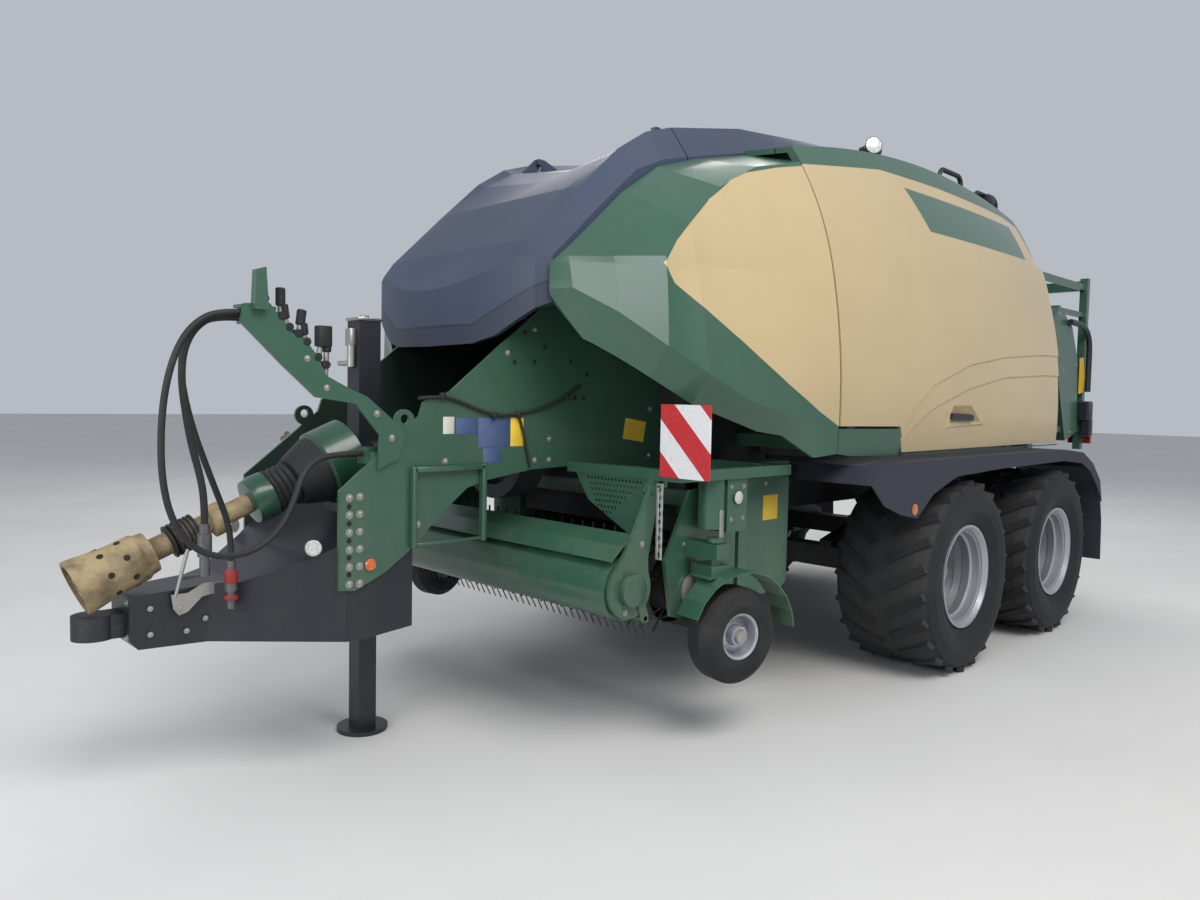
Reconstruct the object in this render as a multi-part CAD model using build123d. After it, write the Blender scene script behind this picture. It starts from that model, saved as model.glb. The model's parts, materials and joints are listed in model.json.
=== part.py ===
from build123d import *
import math
import os

os.makedirs("parts", exist_ok=True)

# Large square baler. While it is drawn, x runs forward from the front tandem axle, y to the left and
# z up from the ground, all in millimetres. Each piece is moved by ORIGIN_X when it is written.

# Overall reach
REAR_REACH = -3330
CLEAR = 8
SEAT = 0.3

# Tandem wheels
WHEEL_SPACING = 1452
TRACK_Y = 1190
TYRE_R = 580
TYRE_W = 610
RIM_R = 309
RIM_HALF = 270
AXLE_Z = TYRE_R
HUB_R = 100
STUB_R = 45
FIT = 0.05
BEAM = 140
KINGPIN_Y = 740
KINGPIN_R = 35

# Bale chamber
CHAMBER_HALF = 600
CHAMBER_WALL = 20
CHAMBER_FLOOR = 980
CHAMBER_ROOF = 1680
CHAMBER_FRONT = 1650
CHAMBER_REAR = -2750

# Front side plates, drawbar and jack
PLATE_Y = 450
PLATE_T = 15
DRAWBAR_FRONT = 4230
JACK_X = 3155
JACK_Y = -65
JACK_TUBE = 110
JACK_LEG = 92
JACK_TOP = 1940
JACK_BOTTOM = 700
DRAWBAR_REAR = JACK_X + JACK_TUBE / 2 + SEAT

# Drive line
DRIVE_Y = 65
FLYWHEEL_X = 2420
FLYWHEEL_Z = 1330
FLYWHEEL_R = 250
FLYWHEEL_W = 160
INPUT_X = 3300
PTO_TIP = (4390, 20, 855)
PTO_CONE_R = 110
PTO_BORE_R = 22.5

# The machine is centred on the ground between its rear reach and the drive shaft's lip
pto_run = math.dist(PTO_TIP, (INPUT_X, DRIVE_Y, FLYWHEEL_Z))
FRONT_REACH = PTO_TIP[0] + PTO_CONE_R * math.sqrt(1 - ((PTO_TIP[0] - INPUT_X) / pto_run) ** 2)
ORIGIN_X = (FRONT_REACH + REAR_REACH) / 2

# Body shell
SHELL_T = 28
SHELL_REAR = -1850
SPLIT_GAP = 14
HOOD_SEAM = 1770
FAIRING_REAR = 450

# Pickup
PIVOT_X = 1150
PIVOT_Z = 900
FEEDER_HALF = 680
FEEDER_FRONT = 1600
REEL_X = 2060
REEL_Z = 710
TINE_R = 245
REEL_HALF = 975
SIDE_Y = 1020
SIDE_T = 20
GUARD_X = 2500
GUARD_Z = 770
GUARD_R = 140
GAUGE_X = 1960
GAUGE_Y = 1185
GAUGE_Z = 517
GAUGE_R = 225
GAUGE_W = 170
ROLLER_GAP = 8
CASTER_REST = 12
SWIVEL_X = 2070

# Rear frame and bale chute
POST_X = -3050
POST_Y = 1040
HINGE_X = -2850
HINGE_Z = 920
CHUTE_TOP = 2350


def box(x0, x1, y0, y1, z0, z1):
    return Pos((x0 + x1) / 2, (y0 + y1) / 2, (z0 + z1) / 2) * Box(abs(x1 - x0), abs(y1 - y0), abs(z1 - z0))


def prism(points, along):
    """A closed outline of 3-D points, pushed along a vector."""
    face = Face(Wire.make_polygon([Vector(*p) for p in points], close=True))
    return Solid.extrude(face, Vector(*along))


def plate_xz(points, y0, y1):
    return prism([(x, y0, z) for x, z in points], (0, y1 - y0, 0))


def plate_xy(points, z0, z1):
    return prism([(x, y, z0) for x, y in points], (0, 0, z1 - z0))


def plate_yz(points, x0, x1):
    return prism([(x0, y, z) for y, z in points], (x1 - x0, 0, 0))


def rod(p, q, r):
    p, q = Vector(*p), Vector(*q)
    return Solid.make_cylinder(r, (q - p).length, Plane(origin=p, z_dir=q - p))


def mirrored(shape):
    return shape.mirror(Plane.XZ)


def spun(profile, centre, axis_dir=(0, 1, 0)):
    """Revolves (radius, distance) points round an axis through centre."""
    plane = Plane(origin=centre, x_dir=(1, 0, 0) if axis_dir != (1, 0, 0) else (0, 0, 1), z_dir=axis_dir)
    pts = [plane.origin + plane.x_dir * r + plane.z_dir * h for r, h in profile]
    face = Face(Wire.make_polygon(pts, close=True))
    return Solid.revolve(face, 360, Axis(plane.origin, plane.z_dir))


parts = {}


def save(name, *shapes):
    solids = [s for shape in shapes for s in shape.solids()]
    moved = [s.moved(Location((-ORIGIN_X, 0, 0))) for s in solids]
    parts[name] = moved
    export_step(moved[0] if len(moved) == 1 else Compound(moved), f"parts/{name}.step")


def sided(name, left):
    save(name + "_left", left)
    save(name + "_right", mirrored(left))


# Wheels, hubs, axles and their knuckles

def rim(x):
    flange, lip, web = RIM_HALF, 12, 36
    profile = [
        (RIM_R, flange), (RIM_R, flange - lip), (RIM_R - 21, flange - 16), (RIM_R - 21, 16 - flange),
        (RIM_R, lip - flange), (RIM_R, -flange), (RIM_R - 13, -flange), (RIM_R - 33, 24 - flange),
        (RIM_R - 33, 10), (HUB_R + 20, web - 6), (HUB_R, web), (HUB_R, -60), (STUB_R + FIT, -60),
        (STUB_R + FIT, 46), (0, 46), (0, 92), (70, 92), (80, 80), (HUB_R + 20, web + 20),
        (RIM_R - 33, 30), (RIM_R - 33, flange - 24), (RIM_R - 13, flange),
    ]
    return spun(profile, (x, TRACK_Y, AXLE_Z))


LUGS = 22
LUG_H = 22
LUG_W = 46
LUG_SLANT = 32
LUG_SINK = 7.2


def tyre(x):
    half, seat, crown = TYRE_W / 2, RIM_R - 21, TYRE_R - LUG_H
    outside = [(seat, 16 - RIM_HALF), (RIM_R + 3, 12 - RIM_HALF), (400, 4 - half), (470, -half),
               (530, 18 - half),
               (crown - 12, 45 - half), (crown, 110 - half)]
    inside = [(seat, 56 - RIM_HALF), (400, 34 - half), (470, 28 - half), (TYRE_R - 50, 75 - half)]
    profile = outside + [(r, -h) for r, h in reversed(outside)]
    profile += [(r, -h) for r, h in inside] + inside[::-1]
    body = spun(profile, (x, TRACK_Y, AXLE_Z))
    lugs = []
    for side in (-1, 1):
        for i in range(LUGS):
            turn = Pos(x, TRACK_Y, AXLE_Z) * Rot(0, (i + 0.25 * side) * 360 / LUGS, 0)
            bar = Box(LUG_W, half - 40, LUG_H + 14)
            lugs.append(turn * Pos(0, side * (half / 2 + 6), crown + (LUG_H - 14) / 2 - LUG_SINK) * Rot(0, 0,
                                                                                                 side * LUG_SLANT) * bar)
    return body + lugs


def stub(x):
    return rod((x, KINGPIN_Y + 110, AXLE_Z), (x, TRACK_Y + 40, AXLE_Z), STUB_R)


hub_back = TRACK_Y - 60
front_x, rear_x = 0, -WHEEL_SPACING
EYE_R = 70
EYE_H = 150
EAR_T = 30

half_front = box(-BEAM / 2, BEAM / 2, 0, hub_back - CLEAR, AXLE_Z - BEAM / 2, AXLE_Z + BEAM / 2)
half_front = half_front + rod((0, 500, AXLE_Z), (0, TRACK_Y + 40, AXLE_Z), STUB_R)
half_rear = box(rear_x - BEAM / 2, rear_x + BEAM / 2, 0, KINGPIN_Y - 20, AXLE_Z - BEAM / 2,
                AXLE_Z + BEAM / 2)
eye = rod((rear_x, KINGPIN_Y, AXLE_Z - EYE_H / 2), (rear_x, KINGPIN_Y, AXLE_Z + EYE_H / 2), EYE_R)
bore = rod((rear_x, KINGPIN_Y, AXLE_Z - EYE_H), (rear_x, KINGPIN_Y, AXLE_Z + EYE_H), KINGPIN_R + FIT)
half_rear = (half_rear + eye) - bore
save("axles", half_front + mirrored(half_front), half_rear + mirrored(half_rear))

wall_y = KINGPIN_Y + EYE_R + 20
ear_z = EYE_H / 2 + 5
ears = [
    box(rear_x - 60, rear_x + 60, KINGPIN_Y - 50, wall_y + 40, AXLE_Z + s * ear_z,
        AXLE_Z + s * (ear_z + EAR_T))
    for s in (-1, 1)
]
back_wall = box(rear_x - 60, rear_x + 60, wall_y, wall_y + 40, AXLE_Z - ear_z - EAR_T,
                AXLE_Z + ear_z + EAR_T)
pin_top = AXLE_Z + ear_z + EAR_T
pin = rod((rear_x, KINGPIN_Y, 2 * AXLE_Z - pin_top), (rear_x, KINGPIN_Y, pin_top), KINGPIN_R)
knuckle = back_wall + ears[0] + ears[1] + pin
knuckle = knuckle + rod((rear_x, wall_y + 20, AXLE_Z), (rear_x, hub_back - CLEAR, AXLE_Z), 75)
knuckle = knuckle + rod((rear_x, wall_y + 20, AXLE_Z), (rear_x, TRACK_Y + 40, AXLE_Z), STUB_R)
sided("knuckle", knuckle)

big_tyre = tyre(0)
for end, x in (("front", front_x), ("rear", rear_x)):
    sided(f"rim_{end}", rim(x))
    sided(f"tyre_{end}", big_tyre.moved(Location((x, 0, 0))))

# Rockers that join the two axle beams under the chamber, with the brackets that carry them
ROCKER_Y = 500
ROCKER_W = 90
mid_x = rear_x / 2
top = AXLE_Z + BEAM / 2 + SEAT
rocker = plate_xz(
    [(-90, top), (90, top), (90, top + 40), (mid_x + 160, 860), (mid_x - 160, 860), (rear_x - 90, top + 40),
     (rear_x - 90, top), (rear_x + 90, top), (mid_x - 90, 760), (mid_x + 90, 760)],
    ROCKER_Y, ROCKER_Y + ROCKER_W)

# Bale chamber
outer_half = CHAMBER_HALF + CHAMBER_WALL
duct = box(CHAMBER_REAR, CHAMBER_FRONT, -outer_half, outer_half, CHAMBER_FLOOR - CHAMBER_WALL,
           CHAMBER_ROOF + CHAMBER_WALL)
duct = duct - box(CHAMBER_REAR - 10, CHAMBER_FRONT + 10, -CHAMBER_HALF, CHAMBER_HALF, CHAMBER_FLOOR,
                  CHAMBER_ROOF)
for x in (-2550, -1900, -1250, 1000):
    ring = box(x - 30, x + 30, -outer_half - 50, outer_half + 50, CHAMBER_FLOOR - CHAMBER_WALL,
               CHAMBER_ROOF + 70)
    duct = duct + (ring - box(x - 40, x + 40, -outer_half + 5, outer_half - 5, 0, CHAMBER_ROOF + 10))
floor_under = CHAMBER_FLOOR - CHAMBER_WALL + 5
bracket = plate_xz([(mid_x - 150, 860 + SEAT), (mid_x + 150, 860 + SEAT), (mid_x + 260, floor_under),
                    (mid_x - 260, floor_under)], ROCKER_Y, ROCKER_Y + ROCKER_W)
lug = plate_xz([(CHAMBER_REAR + 150, floor_under), (CHAMBER_REAR + 50, HINGE_Z - 40),
                (HINGE_X - 40, HINGE_Z - 40),
                (HINGE_X - 40, HINGE_Z + 40), (CHAMBER_REAR, floor_under)], 540, 560)
lug = lug + rod((HINGE_X, 545, HINGE_Z), (HINGE_X, 592, HINGE_Z), 20)
for piece in (bracket, lug):
    duct = duct + piece + mirrored(piece)
save("bale_chamber", duct)

front_wall = box(CHAMBER_FRONT + SEAT, CHAMBER_FRONT + 25, -outer_half - 40, outer_half + 40, 900, 2060)
gearbox = box(CHAMBER_FRONT + 25 + SEAT, 2150, -300, 300, 1180, 1640)
gearbox = gearbox + rod((2150, DRIVE_Y, FLYWHEEL_Z), (2250, DRIVE_Y, FLYWHEEL_Z), 150)
shaft_hole = rod((2100, DRIVE_Y, FLYWHEEL_Z), (2300, DRIVE_Y, FLYWHEEL_Z), 45 + FIT)
save("front_wall", front_wall, gearbox - shaft_hole)
wheel_x0, wheel_x1 = FLYWHEEL_X - FLYWHEEL_W / 2, FLYWHEEL_X + FLYWHEEL_W / 2
flywheel = spun(
    [(0, wheel_x0 - 60), (90, wheel_x0 - 60), (90, FLYWHEEL_X - 20), (FLYWHEEL_R - 70, FLYWHEEL_X - 20),
     (FLYWHEEL_R - 70, wheel_x0), (FLYWHEEL_R, wheel_x0), (FLYWHEEL_R, wheel_x1),
     (FLYWHEEL_R - 70, wheel_x1),
     (FLYWHEEL_R - 70, FLYWHEEL_X + 20), (90, FLYWHEEL_X + 20), (90, wheel_x1 + 40), (55, wheel_x1 + 40),
     (55, INPUT_X - 100), (0, INPUT_X - 100)],
    (0, DRIVE_Y, FLYWHEEL_Z), (1, 0, 0))
flywheel = flywheel + rod((2110, DRIVE_Y, FLYWHEEL_Z), (wheel_x0, DRIVE_Y, FLYWHEEL_Z), 45)
save("flywheel", flywheel)

# Front side plates and the webs between them
PLATE_TOP = 2060
PLATE_NOSE = 3560
plate = plate_xz(
    [(PLATE_NOSE, 810), (PLATE_NOSE, 1210), (3510, 1250), (3190, 1510), (3170, 1570), (3030, 1620),
     (2680, 1900),
     (2480, PLATE_TOP), (CHAMBER_FRONT + 25 + SEAT, PLATE_TOP), (CHAMBER_FRONT + 25 + SEAT, 1150),
     (2330, 1265),
     (2570, 1258), (2830, 1220), (2940, 1190), (3080, 1080), (3220, 950), (3350, 860), (3490, 800)],
    PLATE_Y, PLATE_Y + PLATE_T)
LUG_EYE = (3262, 1490)
eye_lug = rod((LUG_EYE[0], PLATE_Y, LUG_EYE[1]), (LUG_EYE[0], PLATE_Y + PLATE_T, LUG_EYE[1]), 48)
plate = (plate + eye_lug) - rod((LUG_EYE[0], 400, LUG_EYE[1] + 8), (LUG_EYE[0], 500, LUG_EYE[1] + 8), 20)
port_block = box(3352, 3412, 340, PLATE_Y + 5, 1310, 1362) + box(3352, 3412, 340, 420, 1310, 1380)
save("front_plates", plate + port_block, mirrored(plate))

# Drawbar
inner_y = PLATE_Y - SEAT
side_view = plate_xz(
    [(4230, 645), (4200, 610), (3440, 590), (DRAWBAR_REAR, 610), (DRAWBAR_REAR, 1100), (3340, 1100),
     (3620, 940),
     (3850, 840), (4230, 815)], -500, 500)
plan_view = plate_xy(
    [(4230, -110), (4230, 110), (3950, 130), (3520, inner_y), (DRAWBAR_REAR, inner_y),
     (DRAWBAR_REAR, -inner_y),
     (3520, -inner_y), (3950, -130)], 500, 1300)
drawbar = side_view & plan_view
BALL_X = 4325
BALL_R = 40
spoon = box(4230 + SEAT, BALL_X, -60, 60, 655, 745) + rod((BALL_X, 0, 655), (BALL_X, 0, 745), 75)
spoon = spoon - Pos(BALL_X, 0, 672) * Sphere(BALL_R + 0.5)
save("hitch_spoon", spoon)

# Jack
tube = box(JACK_X - JACK_TUBE / 2, JACK_X + JACK_TUBE / 2, JACK_Y - JACK_TUBE / 2, JACK_Y + JACK_TUBE / 2,
           JACK_BOTTOM, JACK_TOP)
bore_half = JACK_LEG / 2 + FIT
tube = tube - box(JACK_X - bore_half, JACK_X + bore_half, JACK_Y - bore_half, JACK_Y + bore_half,
                  JACK_BOTTOM - 10, JACK_TOP - 20)
save("jack_tube", tube)
half_leg = JACK_LEG / 2
leg = box(JACK_X - half_leg, JACK_X + half_leg, JACK_Y - half_leg, JACK_Y + half_leg, 15, 1250)
save("jack_leg", leg + rod((JACK_X, JACK_Y, 0), (JACK_X, JACK_Y, 20), 118))

# Drive shaft to the tractor
shaft_root = Vector(INPUT_X, DRIVE_Y, FLYWHEEL_Z)
shaft_tip = Vector(*PTO_TIP)
shaft_len = (shaft_tip - shaft_root).length
shaft_plane = Plane(origin=shaft_root, z_dir=shaft_tip - shaft_root)


def on_shaft(profile):
    pts = [shaft_plane.origin + shaft_plane.x_dir * r + shaft_plane.z_dir * s for r, s in profile]
    return Solid.revolve(Face(Wire.make_polygon(pts, close=True)), 360, Axis(shaft_root, shaft_plane.z_dir))


HOUSING_R = 165
save("pto_housing", on_shaft([(0, 0), (HOUSING_R, 0), (HOUSING_R, 150), (150, 160), (0, 160)]))
cradle = box(3225, 3380, DRIVE_Y - 75, DRIVE_Y + 75, 1060, 1250)
save("drawbar", drawbar + (cradle - on_shaft([(0, -400), (HOUSING_R + SEAT, -400), (HOUSING_R + SEAT, 400),
                                              (0, 400)])))
ribs = [(88 + 10 * (i % 2), 290 + 13 * i) for i in range(11)]
save("pto_bell", on_shaft([(0, 160 + SEAT), (150, 160 + SEAT), (150, 175), (108, 285)] + ribs + [(60, 430),
                                                                                                 (0, 430)]))
save("pto_tube", on_shaft(
    [(0, 430 + SEAT), (42, 430 + SEAT), (42, 720), (58, 725), (58, 800), (46, 805), (46, 900), (0, 900)]))
cone = on_shaft([(0, 900 + SEAT), (60, 900 + SEAT), (95, 950), (95, 1050), (PTO_CONE_R, shaft_len - 20),
                 (PTO_CONE_R, shaft_len), (96, shaft_len), (96, shaft_len - 60), (38, shaft_len - 60),
                 (38, shaft_len - 8), (PTO_BORE_R, shaft_len - 8), (PTO_BORE_R, shaft_len - 70),
                 (0, shaft_len - 70)])
save("pto_cone", cone)

# Body shell: one outer form, cut into the panels

STATIONS = (
    # x, sill half width, widest half width, shoulder y, shoulder z, crown y, crown z
    (2500, 1270, 1285, 1245, 2170, 985, 2560),
    (1300, 1330, 1345, 1270, 2300, 1000, 2930),
    (-300, 1335, 1350, 1280, 2400, 1000, 3100),
    (SHELL_REAR, 1330, 1340, 1225, 2400, 985, 2950),
)
SILL_Z = 1330
WIDE_Z = 1640
ROOF_RISE = 90


def half_section(x, y_sill, y_wide, y_sh, z_sh, y_cr, z_cr, inset):
    """Closed outline of the left half of the body at one station, moved in by inset."""
    a = Vector(x, y_sill - inset, SILL_Z - 80)
    b = Vector(x, y_wide - inset, WIDE_Z)
    c = Vector(x, y_sh - inset, z_sh)
    low, high = 0.55, 0.45
    bulge = 25
    d = Vector(x, y_cr * low + y_sh * high + bulge - inset, z_cr * low + z_sh * high + bulge - inset)
    e = Vector(x, y_cr - inset, z_cr - inset)
    f = Vector(x, 0, z_cr + ROOF_RISE - inset)
    g = Vector(x, 0, SILL_Z - 80)
    edges = [
        Edge.make_three_point_arc(a, b, c),
        Edge.make_three_point_arc(c, d, e),
        Edge.make_line(e, f),
        Edge.make_line(f, g),
        Edge.make_line(g, a),
    ]
    return Wire(edges)


NOSE_X = STATIONS[1][0]
behind_nose = box(SHELL_REAR - 10, NOSE_X, 0, 1500, 1000, 3500)
outer = Solid.make_loft([half_section(*s, 0) for s in STATIONS])
inner = Solid.make_loft([half_section(*s, SHELL_T) for s in STATIONS])
skin = (outer - inner) & behind_nose

# The shell's nose: flat facets that run in to the hood, with a curved side for the cream panel
HOOD_HALF = 700
NOSE_STATIONS = (
    # x, low y, low z, crease y, crease z, shoulder y, shoulder z, top y, top z, roof z beside the hood
    (NOSE_X, 1330, 1250, 1341, 1480, 1270, 2300, 1062, 2838, 2955),
    (1700, 1275, 1440, 1318, 1535, 1228, 2210, 1078, 2735, 2858),
    (2000, 1215, 1480, 1300, 1607, 1196, 2200, 1103, 2582, 2768),
    (2240, 1120, 1515, 1262, 1715, 1170, 2195, 1130, 2383, 2612),
    (2400, 985, 1600, 1165, 1830, 1145, 2150, 1138, 2215, 2472),
    (2510, 850, 1770, 975, 1975, 940, 2190, 930, 2222, 2375),
    (2620, 750, 1960, 790, 2085, 765, 2200, 758, 2225, 2274),
    (2686, HOOD_HALF + 6, 2060, HOOD_HALF + 9, 2078, HOOD_HALF + 11, 2170, HOOD_HALF + 11, 2195, 2206),
)
SIDE_BEND = 3486
TOP_BEND = 1765


def nose_section(x, y_l, z_l, y_c, z_c, y_s, z_s, y_t, z_t, z_r, inset=0):
    """Closed outline of the left side of the nose at one station, moved in by inset."""
    low = Vector(x, y_l - inset, z_l - 3 * inset)
    crease = Vector(x, y_c - inset, z_c)
    shoulder = Vector(x, y_s - inset, z_s - inset / 3)
    top = Vector(x, y_t - inset, z_t - inset)
    roof = Vector(x, HOOD_HALF - 60, z_r - inset)
    floor = Vector(x, HOOD_HALF - 60, z_l - 3 * inset)
    edges = [Edge.make_line(low, crease)]
    for p, q, bend in ((crease, shoulder, SIDE_BEND), (shoulder, top, TOP_BEND)):
        across = q - p
        out = Vector(0, across.Z, -across.Y).normalized() * (across.length ** 2 / (8 * bend))
        edges.append(Edge.make_three_point_arc(p, (p + q) * 0.5 + out, q))
    corners = [top, roof, floor, low]
    edges += [Edge.make_line(corners[i], corners[i + 1]) for i in range(3)]
    return Wire(edges)


nose = Solid.make_loft([nose_section(*s) for s in NOSE_STATIONS], ruled=True)
nose_in = Solid.make_loft([nose_section(*s, SHELL_T) for s in NOSE_STATIONS], ruled=True)
nose_skin = nose - nose_in


def side_cut(points, grow=0, y0=300, y1=1500):
    """A side-view outline of (x, z) points, grown by a gap and pushed through the left side."""
    outline = Polygon(*points, align=None)
    if grow:
        outline = offset(outline, amount=grow, kind=Kind.INTERSECTION)
    plane = Plane(origin=(0, y1, 0), x_dir=(1, 0, 0), z_dir=(0, -1, 0))
    return extrude(plane * outline, amount=y1 - y0, dir=(0, -1, 0))


# Side-view outlines, as (x, z), that part the skin into its panels
SPLIT_X = 1290
SHELL_OUTLINE = [
    (3135, 2190), (3110, 1590), (2100, 1100), (1900, 1290), (NOSE_X, 1345), (1170, 1330), (480, 1318),
    (SHELL_REAR + 85, 1325), (SHELL_REAR + 85, 2640), (SHELL_REAR + 250, 2660), (SHELL_REAR + 200, 3300),
    (1000, 3300), (2500, 2900), (3000, 2400),
]
PANEL_OUTLINE = [
    (SPLIT_X + SPLIT_GAP, 1485), (1462, 1556), (1697, 1682), (1900, 1800), (2076, 1908), (2241, 2012),
    (2364, 2102),
    (2407, 2187), (2328, 2291), (2240, 2378), (2082, 2515), (1915, 2628), (1789, 2688), (1532, 2762),
    (SPLIT_X + SPLIT_GAP, 2815),
]
DOOR_OUTLINE = [
    (SPLIT_X, 1485), (680, 1480), (635, 1335), (SHELL_REAR + 60, 1345), (SHELL_REAR + 60, 2625),
    (SHELL_REAR + 245, 2645), (SHELL_REAR + 290, 2925), (-1300, 2960), (-200, 2965), (500, 2950),
    (SPLIT_X, 2830),
]
DECK_HALF = 900

left_skin = (skin + nose_skin) & side_cut(SHELL_OUTLINE)
middle = box(FAIRING_REAR, 3400, 0, HOOD_HALF + CLEAR, 1500, 3500)
middle = middle + box(SHELL_REAR - 50, FAIRING_REAR, 0, DECK_HALF + CLEAR, 1500, 3500)
left_skin = left_skin - middle
door_cut = side_cut(DOOR_OUTLINE, 0, DECK_HALF + 40)
door = left_skin & door_cut

# The door steps in over the wheels, in two slight steps along one arch
ARCH = (
    # x, upper edge z, lower edge z
    (700, 1330, 1290), (645, 1460, 1380), (560, 1560, 1450), (300, 1716, 1578), (-193, 1852, 1706),
    (-753, 1927, 1792),
    (-1459, 1974, 1830), (-2300, 1990, 1840),
)
for depth, top in ((7, 1), (14, 2)):
    arch = [(row[0], row[top]) for row in ARCH] + [(-2300, 1000), (720, 1000)]
    sunk = Solid.make_loft([half_section(*s, depth) for s in STATIONS])
    door = door - ((outer - sunk) & side_cut(arch, 0, DECK_HALF + 40))
door = max(door.solids(), key=lambda s: s.volume)
panel = (left_skin & side_cut(PANEL_OUTLINE, 0, DECK_HALF + 40))
top_x0, top_x1 = SHELL_REAR + 60, SPLIT_X
strip = (left_skin & box(top_x0, top_x1, DECK_HALF, 1500, 2600, 3400)) - side_cut(DOOR_OUTLINE, SEAT,
                                                                                  DECK_HALF - 5)
shell = left_skin - side_cut(DOOR_OUTLINE, SPLIT_GAP, DECK_HALF + 30)
shell = shell - box(top_x0 - SPLIT_GAP, top_x1 + SPLIT_GAP, DECK_HALF - 5, 1500, 2560, 3400)
shell = shell - side_cut(PANEL_OUTLINE, SEAT, DECK_HALF + 30)
shell = max(shell.solids(), key=lambda s: s.volume)
deck = skin & box(SHELL_REAR + 60, FAIRING_REAR - SEAT, 0, DECK_HALF, 2500, 3500)

# Door hinges: barrels along the seam between the deck and the strip that turns with the door
DOOR_HINGE_Y = DECK_HALF + CLEAR / 2
DOOR_HINGE_Z = STATIONS[2][6] + ROOF_RISE * (1 - DOOR_HINGE_Y / STATIONS[2][5])
BARREL_R = 15
BARREL_PIN = 6


def barrel(x0, x1, r):
    return rod((x0, DOOR_HINGE_Y, DOOR_HINGE_Z), (x1, DOOR_HINGE_Y, DOOR_HINGE_Z), r)


for x0 in (-620, -60):
    deck = (deck - barrel(x0 + 53, x0 + 127, BARREL_R + 6)) + barrel(x0, x0 + 60, BARREL_R)
    deck = deck + barrel(x0 + 50, x0 + 120, BARREL_PIN)
    strip = (strip - barrel(x0 - 7, x0 + 67, BARREL_R + 6)) + barrel(x0 + 67, x0 + 120, BARREL_R)
    strip = strip - barrel(x0 + 40, x0 + 130, BARREL_PIN + FIT)
strip = max(strip.solids(), key=lambda s: s.volume)
save("side_shells", shell, mirrored(shell))
save("front_panels", panel, mirrored(panel))
sided("side_door", door)
sided("door_strip", strip)
save("roof_deck", deck + mirrored(deck))

# Front hood and the fairing behind it
ROOF_STATIONS = (
    # x, side z, ridge y, ridge z, trough y, trough z, centre z
    (3000, 1860, 570, 1900, 480, 1903, 1905),
    (2700, 2196, 570, 2302, 480, 2308, 2310),
    (2400, 2472, 570, 2588, 490, 2600, 2600),
    (2140, 2700, 572, 2825, 500, 2800, 2750),
    (1950, 2786, 575, 2945, 500, 2908, 2842),
    (HOOD_SEAM, 2834, 578, 3005, 500, 2955, 2890),
    (1200, 2972, 585, 3122, 505, 3090, 3050),
    (FAIRING_REAR, 3150, 600, 3192, 520, 3180, 3172),
)
HOOD_LOW = 1835
HOOD_LIP = 2030
HOOD_T = 25


def roof_section(x, z_side, y_r, z_r, y_t, z_t, z_c, inset=0):
    low = HOOD_LOW - 2 * inset
    points = [(0, low), (HOOD_HALF - inset, low), (HOOD_HALF - inset, z_side - inset),
              (y_r - inset / 2, z_r - inset),
              (y_t - inset / 2, z_t - inset), (0, z_c - inset)]
    return Wire.make_polygon([Vector(x, y, z) for y, z in points], close=True)


HOOD_NOSE = 2850
NOSE_SIDE = 650
NOSE_BACK = 128


def plan_form(back):
    """Plan outline of the hood's nose, moved in."""
    reach = HOOD_NOSE - back
    side = HOOD_HALF - back
    nose_arc = Edge.make_three_point_arc(
        Vector(reach - NOSE_BACK, -NOSE_SIDE, 1500), Vector(reach, 0, 1500),
        Vector(reach - NOSE_BACK, NOSE_SIDE, 1500))
    rest = Wire.make_polygon([Vector(x, y, 1500) for x, y in (
        (reach - NOSE_BACK, NOSE_SIDE), (reach - NOSE_BACK - 60, side), (1000, side), (1000, -side),
        (reach - NOSE_BACK - 60, -side), (reach - NOSE_BACK, -NOSE_SIDE))], close=False)
    return Solid.extrude(Face(Wire([nose_arc] + list(rest.edges()))), Vector(0, 0, 2000))


roof_form = Solid.make_loft([roof_section(*s) for s in ROOF_STATIONS], ruled=True)
roof_in = Solid.make_loft([roof_section(*s, HOOD_T) for s in ROOF_STATIONS], ruled=True)
hood_left = (roof_form & plan_form(0)) - (roof_in & plan_form(HOOD_T))
hood_left = hood_left & box(HOOD_SEAM, 3000, 0, HOOD_HALF, HOOD_LOW, 3400)
lip = plate_yz([(-10, 1500), (-10, HOOD_LOW), (320, HOOD_LOW + 8), (450, 1876), (HOOD_HALF + 10, HOOD_LIP),
                (HOOD_HALF + 10, 1500)], 2500, 3000)
under_side = plate_xz([(1700, 1500), (2700, 1500), (2640, HOOD_LIP - 20), (2400, 2300), (2140, 2560),
                       (1950, 2690),
                       (1700, 2750)], -10, HOOD_HALF + 10)
hood_left = hood_left - lip - under_side

# Hood hinges stand just inside the ridges
HOOD_HINGE = (HOOD_SEAM - 4, 3008)
HOOD_PIN = 12
hinge_x, hinge_z = HOOD_HINGE
hood_lug = plate_xz([(hinge_x - 18, hinge_z - 16), (hinge_x - 18, hinge_z + 16),
                     (hinge_x + 18, hinge_z + 16),
                     (hinge_x + 110, 2938), (hinge_x + 110, 2906), (hinge_x + 24, 2932)], 478, 493)
hood_left = hood_left + (hood_lug - rod((hinge_x, 470, hinge_z), (hinge_x, 500, hinge_z), HOOD_PIN + FIT))
save("front_hood", hood_left + mirrored(hood_left))

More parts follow.
